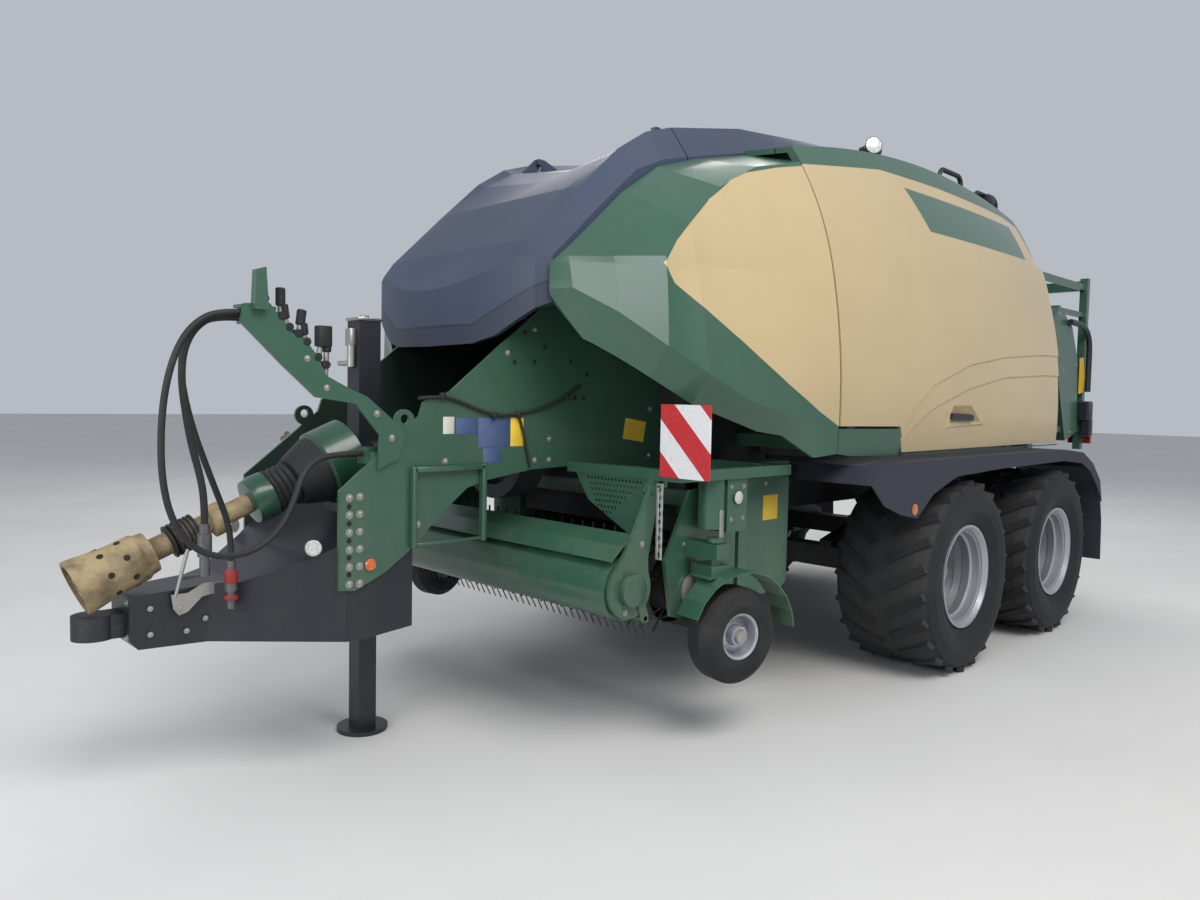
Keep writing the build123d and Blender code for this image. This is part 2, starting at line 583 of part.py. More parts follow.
fairing = (roof_form - roof_in) & box(FAIRING_REAR, HOOD_SEAM - CLEAR, 0, HOOD_HALF, 2500, 3400)
fairing = fairing & plate_xz([(HOOD_SEAM, 2760), (1200, 2890), (FAIRING_REAR, 3040), (FAIRING_REAR, 3400),
                              (HOOD_SEAM, 3400)], -10, HOOD_HALF + 10)
hinge_arm = plate_xz([(1640, 2990), (1735, hinge_z + 16), (hinge_x + 18, hinge_z + 16),
                      (hinge_x + 18, hinge_z - 16),
                      (HOOD_SEAM - 18, hinge_z - 22), (HOOD_SEAM - 18, 2928), (1640, 2960)], 455, 470)
fairing = fairing + hinge_arm + rod((hinge_x, 456, hinge_z), (hinge_x, 496, hinge_z), HOOD_PIN)
save("roof_fairing", fairing + mirrored(fairing))

# Fenders over the tandem wheels
FENDER_IN = 890
FENDER_OUT = 1480
FENDER_T = 8
top_line = [(1210, 1190), (1130, 1280), (860, 1298), (-1480, 1305), (-1860, 1275), (-2090, 1185),
            (-2270, 1045),
            (-2370, 730), (-2390, 420)]
inner_line = [(1195, 1190), (1120, 1272), (860, 1290), (-1478, 1297), (-1857, 1267), (-2084, 1178),
              (-2262, 1041),
              (-2362, 729), (-2382, 420)]
sheet = plate_xz(top_line + inner_line[::-1], FENDER_IN, FENDER_OUT)
skirt = plate_xz([(1210, 1190), (1130, 1280), (860, 1298), (-1480, 1305), (-1860, 1275), (-2090, 1185),
                  (-2270, 1045), (-2330, 880), (-2200, 1010), (-2030, 1130), (-1850, 1195), (-1480, 1225),
                  (-400, 1215), (250, 1195), (540, 1110), (720, 990), (900, 1020), (1080, 1080)],
                 FENDER_OUT - SEAT, FENDER_OUT + FENDER_T)
save("fenders", sheet + skirt, mirrored(sheet + skirt))
FENDER_SEAT = CHAMBER_HALF + CHAMBER_WALL
under_sheet = plate_xz([(x, z - SEAT) for x, z in inner_line] + [(-2382, 300), (1195, 300)], 0, 2000)
stays = [box(x - 25, x + 25, FENDER_SEAT + SEAT, FENDER_OUT - 40, z, 1400) & under_sheet
         for x, z in ((900, 1250), (-726, 1250), (-2000, 1160))]
save("undercarriage", rocker, mirrored(rocker), *stays, *[mirrored(s) for s in stays])

# Feeder housing under the front of the chamber
floor_low = CHAMBER_FLOOR - CHAMBER_WALL - SEAT
housing = box(760, FEEDER_FRONT, -FEEDER_HALF, FEEDER_HALF, 520, floor_low)
housing = housing - box(700, FEEDER_FRONT + 50, 20 - FEEDER_HALF, FEEDER_HALF - 20, 640, 940)
PIN_R = 30
pin = rod((PIVOT_X, FEEDER_HALF - 10, PIVOT_Z), (PIVOT_X, FEEDER_HALF + 40, PIVOT_Z), PIN_R)
housing = housing + pin + mirrored(pin)
save("feeder_housing", housing)

# Pickup: frame, reel, crop roller and its arms
CROSS_X = 1740
side = plate_xz([(CROSS_X - 10, 1200), (2080, 1180), (2250, 860), (2200, 600), (2060, 560), (1885, 470),
                 (1860, 436), (1775, 436), (1755, 480), (CROSS_X - 10, 760)], SIDE_Y, SIDE_Y + SIDE_T)
half_frame = side + box(CROSS_X, CROSS_X + 80, 0, SIDE_Y + 5, 1060, 1140)
lift_arm = plate_xz([(PIVOT_X - 60, PIVOT_Z - 60), (PIVOT_X - 60, PIVOT_Z + 60), (CROSS_X + 30, 1135),
                     (CROSS_X + 30, 1010), (1400, PIVOT_Z - 60)], FEEDER_HALF + CLEAR, FEEDER_HALF + 32)
half_frame = half_frame + lift_arm
half_frame = half_frame - rod((PIVOT_X, 600, PIVOT_Z), (PIVOT_X, 900, PIVOT_Z), PIN_R + FIT)
half_frame = half_frame - rod((REEL_X, 900, REEL_Z), (REEL_X, 1100, REEL_Z), PIN_R + FIT)
swivel_block = box(SWIVEL_X - 45, SWIVEL_X + 45, SIDE_Y + 5, GAUGE_Y + 45, 880, 950)
half_frame = half_frame + swivel_block
half_frame = half_frame - rod((SWIVEL_X, GAUGE_Y, 800), (SWIVEL_X, GAUGE_Y, 1000), 25 + FIT)
save("pickup_frame", half_frame + mirrored(half_frame))

TINE_ROWS = 5
TINE_COUNT = 24
TINE_PITCH = 2 * (REEL_HALF - 40) / (TINE_COUNT - 1)
DRUM_R = 120
reel = rod((REEL_X, 5 - REEL_HALF, REEL_Z), (REEL_X, REEL_HALF - 5, REEL_Z), DRUM_R)
reel = reel + rod((REEL_X, -SIDE_Y - SIDE_T, REEL_Z), (REEL_X, SIDE_Y + SIDE_T, REEL_Z), PIN_R)
tines = []
for row in range(TINE_ROWS):
    for i in range(TINE_COUNT):
        y = 40 - REEL_HALF + i * TINE_PITCH
        turn = Pos(REEL_X, y, REEL_Z) * Rot(0, row * 360 / TINE_ROWS, 0)
        tines.append(turn * Pos(0, 0, (DRUM_R - 10 + TINE_R) / 2) * Box(8, 8, TINE_R - DRUM_R + 10))
save("pickup_reel", reel + tines)

# Stripper hoops bend round the reel between its rows of tines
HOOP_R = 180
HOOP_T = 5
HOOP_W = 62
HOOP_BEAM = (1830, 480)
turns = [math.radians(120 - 24 * i) for i in range(11)]
ring_out = [(REEL_X + HOOP_R * math.cos(a), REEL_Z + HOOP_R * math.sin(a)) for a in turns]
ring_in = [(REEL_X + (HOOP_R - HOOP_T) * math.cos(a),
            REEL_Z + (HOOP_R - HOOP_T) * math.sin(a)) for a in turns]
beam_x, beam_z = HOOP_BEAM
hoop_side = ring_out + [(beam_x, beam_z)] + [(beam_x - 8, beam_z + 8)] + ring_in[::-1]
hoops = [plate_xz(hoop_side, y - HOOP_W / 2, y + HOOP_W / 2)
         for y in (40 - REEL_HALF + (i + 0.5) * TINE_PITCH for i in range(TINE_COUNT - 1))]
strippers = box(beam_x - 40, beam_x + 4, SEAT - SIDE_Y, SIDE_Y - SEAT, beam_z - 30, beam_z + 14)
for hoop_band in hoops:
    strippers = strippers + hoop_band
save("stripper_hoops", strippers)

# Crop roller, hung on arms from the side beams
ROLLER_PIN = 25
ARM_X, ARM_Z = 2360, 1192
ARM_PIN = 20
ARM_IN = SIDE_Y + SIDE_T + 6
roller = rod((GUARD_X, ROLLER_GAP - ARM_IN, GUARD_Z), (GUARD_X, ARM_IN - ROLLER_GAP, GUARD_Z), GUARD_R)
roller = roller + rod((GUARD_X, -ARM_IN - 22, GUARD_Z), (GUARD_X, ARM_IN + 22, GUARD_Z), ROLLER_PIN)
save("crop_roller", roller)
arm = plate_xz([(ARM_X - 32, ARM_Z - 12), (ARM_X - 14, ARM_Z + 32), (ARM_X + 14, ARM_Z + 32),
                (ARM_X + 34, ARM_Z),
                (2500, 985), (GUARD_X + 112, GUARD_Z + 60), (GUARD_X - 112, GUARD_Z + 60), (2392, 900)],
               ARM_IN, ARM_IN + 20)
arm = arm + rod((GUARD_X, ARM_IN, GUARD_Z), (GUARD_X, ARM_IN + 20, GUARD_Z), 128)
arm = arm - rod((ARM_X, 900, ARM_Z), (ARM_X, 1200, ARM_Z), ARM_PIN + FIT)
arm = arm - rod((GUARD_X, 900, GUARD_Z), (GUARD_X, 1200, GUARD_Z), ROLLER_PIN + FIT)
deflector = plate_xz([(2408, 985), (2462, 1008), (2545, 965), (2612, 905), (2606, 899), (2540, 956),
                      (2462, 998),
                      (2412, 977)], 0, ARM_IN + 5)
half_arms = arm + deflector
save("roller_arms", half_arms + mirrored(half_arms))

# Castering gauge wheels, turned a little at rest
swivel = Pos(SWIVEL_X, GAUGE_Y, 0) * Rot(0, 0, -CASTER_REST) * Pos(-SWIVEL_X, -GAUGE_Y, 0)
leg_y = GAUGE_Y - GAUGE_W / 2 - 25
fork = rod((SWIVEL_X, GAUGE_Y, 840), (SWIVEL_X, GAUGE_Y, 975), 25)
fork = fork + box(SWIVEL_X - 60, SWIVEL_X + 50, leg_y, GAUGE_Y + 40, 800, 850)
fork = fork + rod((SWIVEL_X, GAUGE_Y, 955), (SWIVEL_X, GAUGE_Y, 975), 40)
leg = plate_xz([(SWIVEL_X - 60, 850), (SWIVEL_X + 40, 850), (SWIVEL_X + 20, 760),
                (GAUGE_X + 40, GAUGE_Z - 35),
                (GAUGE_X - 40, GAUGE_Z - 35), (GAUGE_X - 40, GAUGE_Z + 40)], leg_y, leg_y + 15)
fork = fork + leg + rod((GAUGE_X, leg_y, GAUGE_Z), (GAUGE_X, GAUGE_Y + 30, GAUGE_Z), 20)
GUARD_TURNS = [math.radians(22 + 15.5 * i) for i in range(11)]
guard_out = [(GAUGE_X + 306 * math.cos(a), GAUGE_Z + 306 * math.sin(a)) for a in GUARD_TURNS]
guard_in = [(GAUGE_X + 300 * math.cos(a), GAUGE_Z + 300 * math.sin(a)) for a in GUARD_TURNS]
fork = fork + plate_xz(guard_out + guard_in[::-1], GAUGE_Y - 48, GAUGE_Y + 98)
fork = fork + plate_xz([(SWIVEL_X - 45, 812), (SWIVEL_X + 40, 812), (SWIVEL_X + 60, 790),
                        (SWIVEL_X - 40, 800)],
                       leg_y, GAUGE_Y + 40)
sided("gauge_fork", swivel * fork)
half_w = GAUGE_W / 2
gauge_rim = spun(
    [(20 + FIT, -50), (20 + FIT, 34), (0, 34), (0, 60), (45, 60), (50, 20), (90, 5), (95, half_w - 25),
     (108, half_w - 18), (108, half_w - 26), (101, half_w - 32), (101, 32 - half_w), (108, 26 - half_w),
     (108, 18 - half_w), (95, 25 - half_w), (90, -8), (45, -10), (40, -50)],
    (GAUGE_X, GAUGE_Y, GAUGE_Z))
gauge_tyre = spun(
    [(101, half_w - 33), (109.5, half_w - 27), (112, half_w - 10), (150, half_w), (190, half_w - 12),
     (GAUGE_R, half_w - 45),
     (GAUGE_R, 45 - half_w), (190, 12 - half_w), (150, -half_w), (112, 10 - half_w), (109.5, 27 - half_w),
     (101, 33 - half_w)],
    (GAUGE_X, GAUGE_Y, GAUGE_Z))
sided("gauge_rim", swivel * gauge_rim)
sided("gauge_tyre", swivel * gauge_tyre)

# Drive cover beside the feeder, side beams and warning boards
cover = plate_xz([(1230, 640), (1230, 1290), (1560, 1290), (1640, 1180), (1660, 1120), (1660, 600),
                  (1300, 600)],
                 FEEDER_HALF + 52, SIDE_Y - 12)
BEAM_Z = 1240
beam = box(2280, 2340, PLATE_Y + PLATE_T + SEAT, 1200, BEAM_Z, BEAM_Z + 50)
beam = beam + box(1500, 2340, 1140, 1200, BEAM_Z, BEAM_Z + 50)
beam = beam + box(1500, 1560, SIDE_Y - 12 + SEAT, 1200, BEAM_Z, BEAM_Z + 50)
beam_lug = plate_xz([(2290, BEAM_Z + 10), (2340, BEAM_Z + 10), (ARM_X + 34, ARM_Z), (ARM_X, ARM_Z - 34),
                     (ARM_X - 34, ARM_Z)], SIDE_Y, SIDE_Y + SIDE_T)
beam = beam + beam_lug + rod((ARM_X, SIDE_Y, ARM_Z), (ARM_X, ARM_IN + 24, ARM_Z), ARM_PIN)
beam = beam + box(1840, 1990, 1068, 1186, 990, BEAM_Z + 5)
beam = beam + rod((2035, 1127, 1010), (2035, 1127, BEAM_Z + 5), 62)
beam = beam + rod((1915, 1180, 1150), (1915, 1194, 1150), 34)
guard = plate_yz([(520, BEAM_Z + 5), (1012, BEAM_Z + 5), (985, 1120), (925, 962), (614, 1114)], 2331, 2335)
holes = []
for row in range(7):
    for i in range(16 - 2 * row):
        y, z = 612 + 23 * i + 14 * row, 1222 - 26 * row
        holes.append(Pos(2333, y, z) * Rot(0, 90, 0) * extrude(RegularPolygon(7, 6), amount=6, both=True))
guard = guard - holes
beam = beam + guard

# A chain hangs from a bar on each beam, its links square in section
CHAIN_X, CHAIN_Y = 2362, 1100
TOP_LINK_Z = BEAM_Z - 35
LINK = 52
LINK_W = 32
WIRE = 8
hook_top = TOP_LINK_Z + LINK / 2 - WIRE - SEAT
beam = beam + box(2320, CHAIN_X + 12, CHAIN_Y - 6, CHAIN_Y + 6, hook_top - 10, hook_top)
beam = beam + box(2320, 2338, CHAIN_Y - 6, CHAIN_Y + 6, hook_top - 10, BEAM_Z + 5)
save("side_beams", beam, mirrored(beam), cover, mirrored(cover))
link_frame = Box(LINK_W, WIRE, LINK) - Box(LINK_W - 2 * WIRE, WIRE + 2, LINK - 2 * WIRE)
link_step = LINK - 2 * WIRE - SEAT
links = []
for i in range(9):
    links.append(Pos(CHAIN_X, CHAIN_Y, TOP_LINK_Z - i * link_step) * Rot(0, 0,
                                                                         90 * ((i + 1) % 2)) * link_frame)
save("chains", *links, *[mirrored(k) for k in links])
board = box(2340 + SEAT, 2345, 1080, 1362, BEAM_Z + 20, BEAM_Z + 340)
save("warning_boards", board, mirrored(board))

# Hose arm on the left side plate, with its saddle and post
arm_y = PLATE_Y + PLATE_T + SEAT
hose_arm = plate_xz([(3300, 1330), (3260, 1420), (3287, 1465), (3446, 1590), (3510, 1614), (3620, 1667),
                     (3667, 1753),
                     (3702, 1795), (3759, 1824), (3847, 1928), (3943, 1920), (3959, 1852), (3804, 1704),
                     (3667, 1583),
                     (3497, 1560), (3385, 1430), (3395, 1290)], arm_y, arm_y + 12)
hose_arm = hose_arm + plate_xz([(3864, 1900), (3864, 1932), (3872, 2056), (3908, 2044), (3915, 1900)],
                               arm_y, arm_y + 40)
hose_arm = hose_arm + box(3820, 3950, arm_y - 70, arm_y + 6, 1905, 1917)
clamp_x = 3925
hose_arm = hose_arm + box(clamp_x - 45, clamp_x, 365, arm_y + 6, 1850, 1908)
save("hose_arm", hose_arm)

HOSES = (
    # name, outer diameter, route from the clamp on the arm
    ("hose_outer", 24, (
        (clamp_x, 447, 1888), (4023, 447, 1888), (4112, 450, 1836), (4172, 455, 1744), (4214, 464, 1604),
        (4232, 474, 1440), (4230, 482, 1282), (4204, 490, 1152), (4144, 496, 1052), (4046, 500, 1000),
        (3918, 494, 1008), (3810, 476, 1074), (3738, 446, 1178), (3686, 410, 1288), (3606, 388, 1342),
        (3508, 380, 1352), (3412, 380, 1352))),
    ("hose_front", 26, (
        (clamp_x, 415, 1878), (4018, 415, 1878), (4094, 416, 1826), (4136, 420, 1744), (4146, 426, 1640),
        (4134, 430, 1524), (4112, 428, 1400), (4084, 424, 1302), (4066, 420, 1208), (4066, 420, 1118))),
    ("hose_inner", 24, (
        (clamp_x, 380, 1872), (4014, 380, 1872), (4088, 376, 1826), (4124, 374, 1748), (4124, 362, 1648),
        (4098, 344, 1536), (4058, 318, 1424), (4008, 288, 1312), (3958, 258, 1204), (3916, 240, 1108),
        (3896, 232, 1022), (3896, 232, 938))),
)


def hose(points, d):
    """A tube of straight runs joined by arcs as large as the two runs beside each corner allow."""
    pts = [Vector(*p) for p in points]
    radii = []
    for p, q, r in zip(pts, pts[1:], pts[2:]):
        half_turn = math.radians((q - p).get_angle(r - q) / 2)
        radii.append(0.45 * min((q - p).length, (r - q).length) / math.tan(half_turn))
    path = FilletPolyline(*pts, radius=radii)
    tube = sweep(Plane(origin=pts[0], z_dir=pts[1] - pts[0]) * Circle(d / 2), path=path)
    ratio = tube.volume / (math.pi * d * d / 4 * path.length)
    print("hose length", round(path.length), "least radius", round(min(radii)), "volume ratio",
          round(ratio, 4))
    return tube


for name, d, points in HOSES:
    save(name, hose(points, d))

couplers = []
for (x, y, z), r in ((HOSES[1][2][-1], 18), (HOSES[2][2][-1], 17)):
    couplers.append(rod((x, y, z - 40), (x, y, z), r) + rod((x, y, z - 120), (x, y, z - 38), r + 7)
                    + rod((x, y, z - 190), (x, y, z - 118), r))
save("hose_couplers", *couplers)

# Ribs inside the shell, which carry it on the chamber
rib_outer = Solid.make_loft([half_section(*s, SHELL_T + SEAT) for s in STATIONS])
rib_inner = Solid.make_loft([half_section(*s, SHELL_T + 70) for s in STATIONS])
ribs_left = []
for x in (SHELL_REAR + 130, 1150):
    rib = (rib_outer - rib_inner) & box(x - 35, x + 35, 0, 1500, 1345, 3400)
    if x > FAIRING_REAR:
        rib = rib - box(x - 50, x + 50, -10, HOOD_HALF + CLEAR, 2600, 3400)
        rib = rib + (box(x - 35, x + 35, 0, 1300, 2540, 2600) & rib_outer)
    rib = rib + (box(x - 35, x + 35, CHAMBER_HALF + CHAMBER_WALL + SEAT, 1400, 1350, 1420) & rib_outer)
    ribs_left.append(rib)
save("body_ribs", *[r + mirrored(r) for r in ribs_left])

# Rear frame, lamps and the folded bale chute
post = box(POST_X, POST_X + 60, POST_Y, POST_Y + 60, 1250, 2700)
rail = box(POST_X + 30, SHELL_REAR + 95 - SEAT, POST_Y, POST_Y + 40, 2600, 2650)
rail2 = box(POST_X + 30, SHELL_REAR + 95 - SEAT, POST_Y, POST_Y + 40, 1400, 1450)
half_rear_frame = post + rail + rail2 + box(POST_X, POST_X + 60, 0, POST_Y + 10, 2600, 2680)
half_rear_frame = half_rear_frame + box(POST_X, POST_X + 60, 0, POST_Y + 10, CHAMBER_ROOF + 60,
                                        CHAMBER_ROOF + 120)
half_rear_frame = half_rear_frame + box(POST_X, CHAMBER_REAR + 160, 400, 460,
                                        CHAMBER_ROOF + CHAMBER_WALL + SEAT,
                                        CHAMBER_ROOF + 90)
casing = plate_xz([(-2250, 2300), (-2366, 2421), (-2674, 2264), (-2831, 2004), (-2900, 1400), (-2620, 1330),
                   (-2330, 2010)], POST_Y - 60, POST_Y + 60)
half_rear_frame = half_rear_frame + casing + box(POST_X + 30, -2350, POST_Y, POST_Y + 40, 2372, 2412)
save("rear_frame", half_rear_frame + mirrored(half_rear_frame))
lamps = box(POST_X - 40, POST_X - SEAT, POST_Y - 60, POST_Y + 120, 1300, 1400)
save("rear_lamps", lamps, mirrored(lamps))

rail_in = 568
chute_side = plate_xz([(HINGE_X - 30, HINGE_Z - 40), (HINGE_X + 30, HINGE_Z - 30),
                       (HINGE_X + 30, HINGE_Z + 30),
                       (REAR_REACH + 120, 1150), (REAR_REACH + 120, CHUTE_TOP), (REAR_REACH, CHUTE_TOP),
                       (REAR_REACH, 1060)], rail_in, rail_in + 20)
chute_side = chute_side - rod((HINGE_X, 500, HINGE_Z), (HINGE_X, 700, HINGE_Z), 20 + FIT)
half_chute = chute_side + box(REAR_REACH, REAR_REACH + 6, 0, rail_in + 10, 1100, CHUTE_TOP)
for i in range(5):
    z = 1250 + 240 * i
    half_chute = half_chute + rod((REAR_REACH + 75, 0, z), (REAR_REACH + 75, rail_in + 5, z), 38)
save("bale_chute", half_chute + mirrored(half_chute))

# Hand rails and work lamps on the roof
seat_form = Solid.make_loft([half_section(*s, -SEAT) for s in STATIONS])


def hoop(x0, x1, y, z_top, r):
    path = FilletPolyline((x0, y, 2700), (x0, y, z_top), (x1, y, z_top), (x1, y, 2700), radius=60)
    face = Plane(origin=(x0, y, 2700), z_dir=(0, 0, 1)) * Circle(r)
    return sweep(face, path=path)


rails = [hoop(x0, x1, 820, z, 17) - seat_form for x0, x1, z in ((-1100, -760, 3240), (-1720, -1330, 3180))]
lamp = rod((200, 780, 3150), (200, 885, 3170), 45)
lamp = (lamp + rod((200, 800, 2900), (200, 800, 3150), 15)) - seat_form
roof_rails = rails + [lamp]
save("roof_rails", *roof_rails, *[mirrored(r) for r in roof_rails])
print("origin", ORIGIN_X, "shaft", tuple(shaft_tip), tuple(shaft_plane.z_dir), shaft_len)
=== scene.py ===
"""Large square baler: finishes, small fittings, hoses, lights and the camera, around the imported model.

Lengths are in metres, with x forwards, y to the left and z up. Places are given from the ground below the middle of the
front tandem axle, and spot() moves them to the model's frame.
"""

import json
import math

import bmesh
import bpy
from mathutils import Matrix, Vector


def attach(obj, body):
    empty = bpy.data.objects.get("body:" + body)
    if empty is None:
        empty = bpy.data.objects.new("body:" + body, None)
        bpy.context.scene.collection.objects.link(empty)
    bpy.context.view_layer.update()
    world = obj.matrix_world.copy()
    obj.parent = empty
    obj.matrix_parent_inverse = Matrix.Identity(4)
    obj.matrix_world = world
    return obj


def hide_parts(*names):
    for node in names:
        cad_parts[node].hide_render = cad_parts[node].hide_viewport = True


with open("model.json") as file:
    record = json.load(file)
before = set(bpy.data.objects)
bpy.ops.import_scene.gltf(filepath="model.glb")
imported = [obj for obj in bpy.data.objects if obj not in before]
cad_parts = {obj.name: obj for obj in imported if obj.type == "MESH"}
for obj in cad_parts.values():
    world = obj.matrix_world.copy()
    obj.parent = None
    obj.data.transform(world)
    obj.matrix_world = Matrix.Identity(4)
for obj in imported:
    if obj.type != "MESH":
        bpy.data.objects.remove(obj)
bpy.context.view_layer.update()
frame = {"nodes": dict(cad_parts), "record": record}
nodes = frame["nodes"]
scene = bpy.context.scene

# The model's origin lies this far ahead of the front tandem axle.
ORIGIN_X = 0.55205
AXLE_Z = 0.58
AXLES = (("front", 0.0), ("rear", -1.452))
HANDS = (("left", 1), ("right", -1))
LEFT, AHEAD, DOWN = (0, 1, 0), (1, 0, 0), (0, 0, -1)
UP = Vector((0, 0, 1))


def spot(x, y, z):
    """A place given from the front tandem axle, in the model's frame."""
    return Vector((x - ORIGIN_X, y, z))


def spread(low, high, count):
    """Evenly spaced values from low to high, both included."""
    return [low + (high - low) * i / (count - 1) for i in range(count)]


def turns(count, shift=0.0):
    """Evenly spaced angles round a circle, moved on by a share of one step."""
    return [math.tau * (i + shift) / count for i in range(count)]


# ---- Finishes


class Val:
    """A value that changes over a surface. Operators and methods on it add Math nodes."""

    def __init__(self, look, out):
        self.look = look
        self.out = out

    def math(self, operation, *values, clamp=False):
        return self.look.node("ShaderNodeMath", {"operation": operation, "use_clamp": clamp}, *values)

    def __add__(self, other):
        return self.math("ADD", self, other)

    __radd__ = __add__

    def __sub__(self, other):
        return self.math("SUBTRACT", self, other)

    def __rsub__(self, other):
        return self.math("SUBTRACT", other, self)

    def __mul__(self, other):
        return self.math("MULTIPLY", self, other)

    __rmul__ = __mul__

    def __gt__(self, other):
        return self.math("GREATER_THAN", self, other)

    def clamped(self):
        return self.math("ADD", self, 0.0, clamp=True)

    def at_least(self, other):
        return self.math("MAXIMUM", self, other)

    def at_most(self, other):
        return self.math("MINIMUM", self, other)

    def absolute(self):
        return self.math("ABSOLUTE", self)

    def root(self):
        return self.math("SQRT", self)

    def fraction(self):
        return self.math("FRACT", self)


class Look:
    """One material: a Principled shader whose fixed values are set on its own sockets."""

    def __init__(self, name, **fixed):
        self.material = bpy.data.materials.new(name)
        self.material.use_nodes = True
        self.tree = self.material.node_tree
        self.shader = self.tree.nodes["Principled BSDF"]
        for socket, value in fixed.items():
            self.shader.inputs[socket.replace("_", " ")].default_value = value
        self.place = self.node("ShaderNodeTexCoord", {}, out="Object")

    def plug(self, socket, value):
        if isinstance(value, Val):
            self.tree.links.new(value.out, socket)
        elif isinstance(value, tuple) and len(value) == 3 and socket.type == "RGBA":
            socket.default_value = (*value, 1.0)
        elif value is not None:
            socket.default_value = value

    def node(self, kind, settings, *values, out=0, **named):
        """Any node: its settings, then its sockets in order or by name. None leaves a socket as it is."""
        made = self.tree.nodes.new(kind)
        for key, value in settings.items():
            setattr(made, key, value)
        for socket, value in zip(made.inputs, values):
            self.plug(socket, value)
        for key, value in named.items():
            self.plug(made.inputs[key], value)
        return Val(self, made.outputs[out])

    def noise(self, scale, detail=3.0, rough=0.55, stretch=None):
        place = self.place
        if stretch:
            place = self.node("ShaderNodeMapping", {}, Vector=place, Scale=stretch)
        return self.node("ShaderNodeTexNoise", {}, Vector=place, Scale=scale, Detail=detail, Roughness=rough)

    def ramp(self, value, low, high, a=0.0, b=1.0):
        """Goes from a to b as value goes from low to high."""
        return self.node("ShaderNodeMapRange", {"clamp": True}, value, low, high, a, b)

    def mix(self, factor, first, second):
        """A colour between two colours. The Mix node has colours at its inputs 6 and 7 and its output 2."""
        unused = [None] * 5
        return self.node("ShaderNodeMix", {"data_type": "RGBA"}, factor, *unused, first, second, out=2)

    def axis(self, letter):
        return self.node("ShaderNodeSeparateXYZ", {}, self.place, out=letter)

    def from_axle(self, axle_x):
        """Distance from a tandem axle's line, for rings on its wheels."""
        dx, dz = self.axis("X") - (axle_x - ORIGIN_X), self.axis("Z") - AXLE_Z
        return (dx * dx + dz * dz).root()

    def bump(self, height, strength, distance):
        return self.node("ShaderNodeBump", {}, Strength=strength, Distance=distance, Height=height)

    def inside(self, outline, soft=0.0015):
        """1 within a side-view outline of (x, z) points taken clockwise as seen from the left."""
        x, z = self.axis("X"), self.axis("Z")
        least = None
        for (px, pz), (qx, qz) in zip(outline, outline[1:] + outline[:1]):
            run = math.hypot(qx - px, qz - pz)
            nx, nz = (pz - qz) / run, (qx - px) / run
            reach = x * nx + z * nz - ((px - ORIGIN_X) * nx + pz * nz)
            least = reach if least is None else least.at_most(reach)
        return self.ramp(least, -soft, soft)

    def set(self, **links):
        for socket, value in links.items():
            self.plug(self.shader.inputs[socket.replace("_", " ")], value)


DUST = (0.235, 0.2, 0.145)
GREEN, GREEN_SHADE = (0.031, 0.098, 0.06), (0.025, 0.08, 0.05)
CREAM, CREAM_SHADE = (0.5, 0.385, 0.205), (0.46, 0.35, 0.185)
TYRE_BLACK = (0.011, 0.0125, 0.016)
# Near black that faces looking inwards are darkened towards, as painted shade
BODY_UNLIT = (0.012, 0.014, 0.014)
# Rings pressed into the big rims, as (radius, half width), the painted shade in them, and the painted shade of the bowl
# between two radii
RIM_STEPS = ((0.268, 0.004), (0.246, 0.003), (0.178, 0.003))
STEP_PAINTED_SHADE = (0.09, 0.095, 0.105)
BOWL_PAINTED_SHADE = (0.16, 0.165, 0.18)
BOWL_OUTER, BOWL_INNER = 0.235, 0.09


def painted(name, colour, shade, rough=0.32, coat=0.35, dust=0.25, dust_top=1.3, metallic=0.0, shaded=0.0,
            axle_x=None):
    """Sprayed enamel: cloudy tint, fine orange peel, road dust that thickens towards the ground.

    shaded is how far faces that look inwards are darkened, as painted shade. axle_x adds the pressed rings of the rims
    on that axle, with painted shade in the rings and in the bowl.
    """
    look = Look(name, Coat_Weight=coat, Coat_Roughness=0.12, Metallic=metallic)
    cloud = look.noise(1.7, 4.0)
    fine = look.noise(38.0, 5.0, 0.7)
    streak = look.noise(5.0, 5.0, 0.65, stretch=(1.0, 1.0, 0.16))
    low = look.ramp(look.axis("Z"), dust_top, 0.1, 0.12, 1.0)
    film = (low * look.ramp(streak, 0.42, 0.72) * look.ramp(fine, 0.3, 0.62) * dust * 2.0).clamped()
    tint = look.mix(look.ramp(cloud, 0.3, 0.7), colour, shade)
    height = look.noise(420.0, 2.0) * 0.5 + cloud * 0.05
    strength, depth = 0.08, 0.001
    # Painted shade: faces that look in towards the middle are darkened towards near black
    if shaded:
        facing = look.node("ShaderNodeNewGeometry", {}, out="Normal")
        inward = look.axis("Y") * look.node("ShaderNodeSeparateXYZ", {}, facing, out="Y")
        tint = look.mix(look.ramp(inward, -0.05, -0.3) * shaded, tint, BODY_UNLIT)
    if axle_x is not None:
        radius = look.from_axle(axle_x)
        # Painted shade: a darker line in each pressed step, which is also bumped in
        for at, half in RIM_STEPS:
            step = look.ramp((radius - at).absolute(), half * 1.5, half * 0.5)
            tint = look.mix(step * 0.55, tint, STEP_PAINTED_SHADE)
            height = height - step
        # Painted shade in the bowl, darker towards the middle
        tint = look.mix(look.ramp(radius, BOWL_OUTER, BOWL_INNER) * 0.45, tint, BOWL_PAINTED_SHADE)
        strength, depth = 0.3, 0.004
    look.set(Base_Color=look.mix(film, tint, DUST), Roughness=(rough + film * 0.45 + fine * 0.06).clamped(),
             Normal=look.bump(height, strength, depth))
    return look.material


# The hood's lower band is level as far out as this, and rises from there by this much for each metre outwards.
BAND_LEVEL_Y, BAND_RISE = 0.32, 0.5


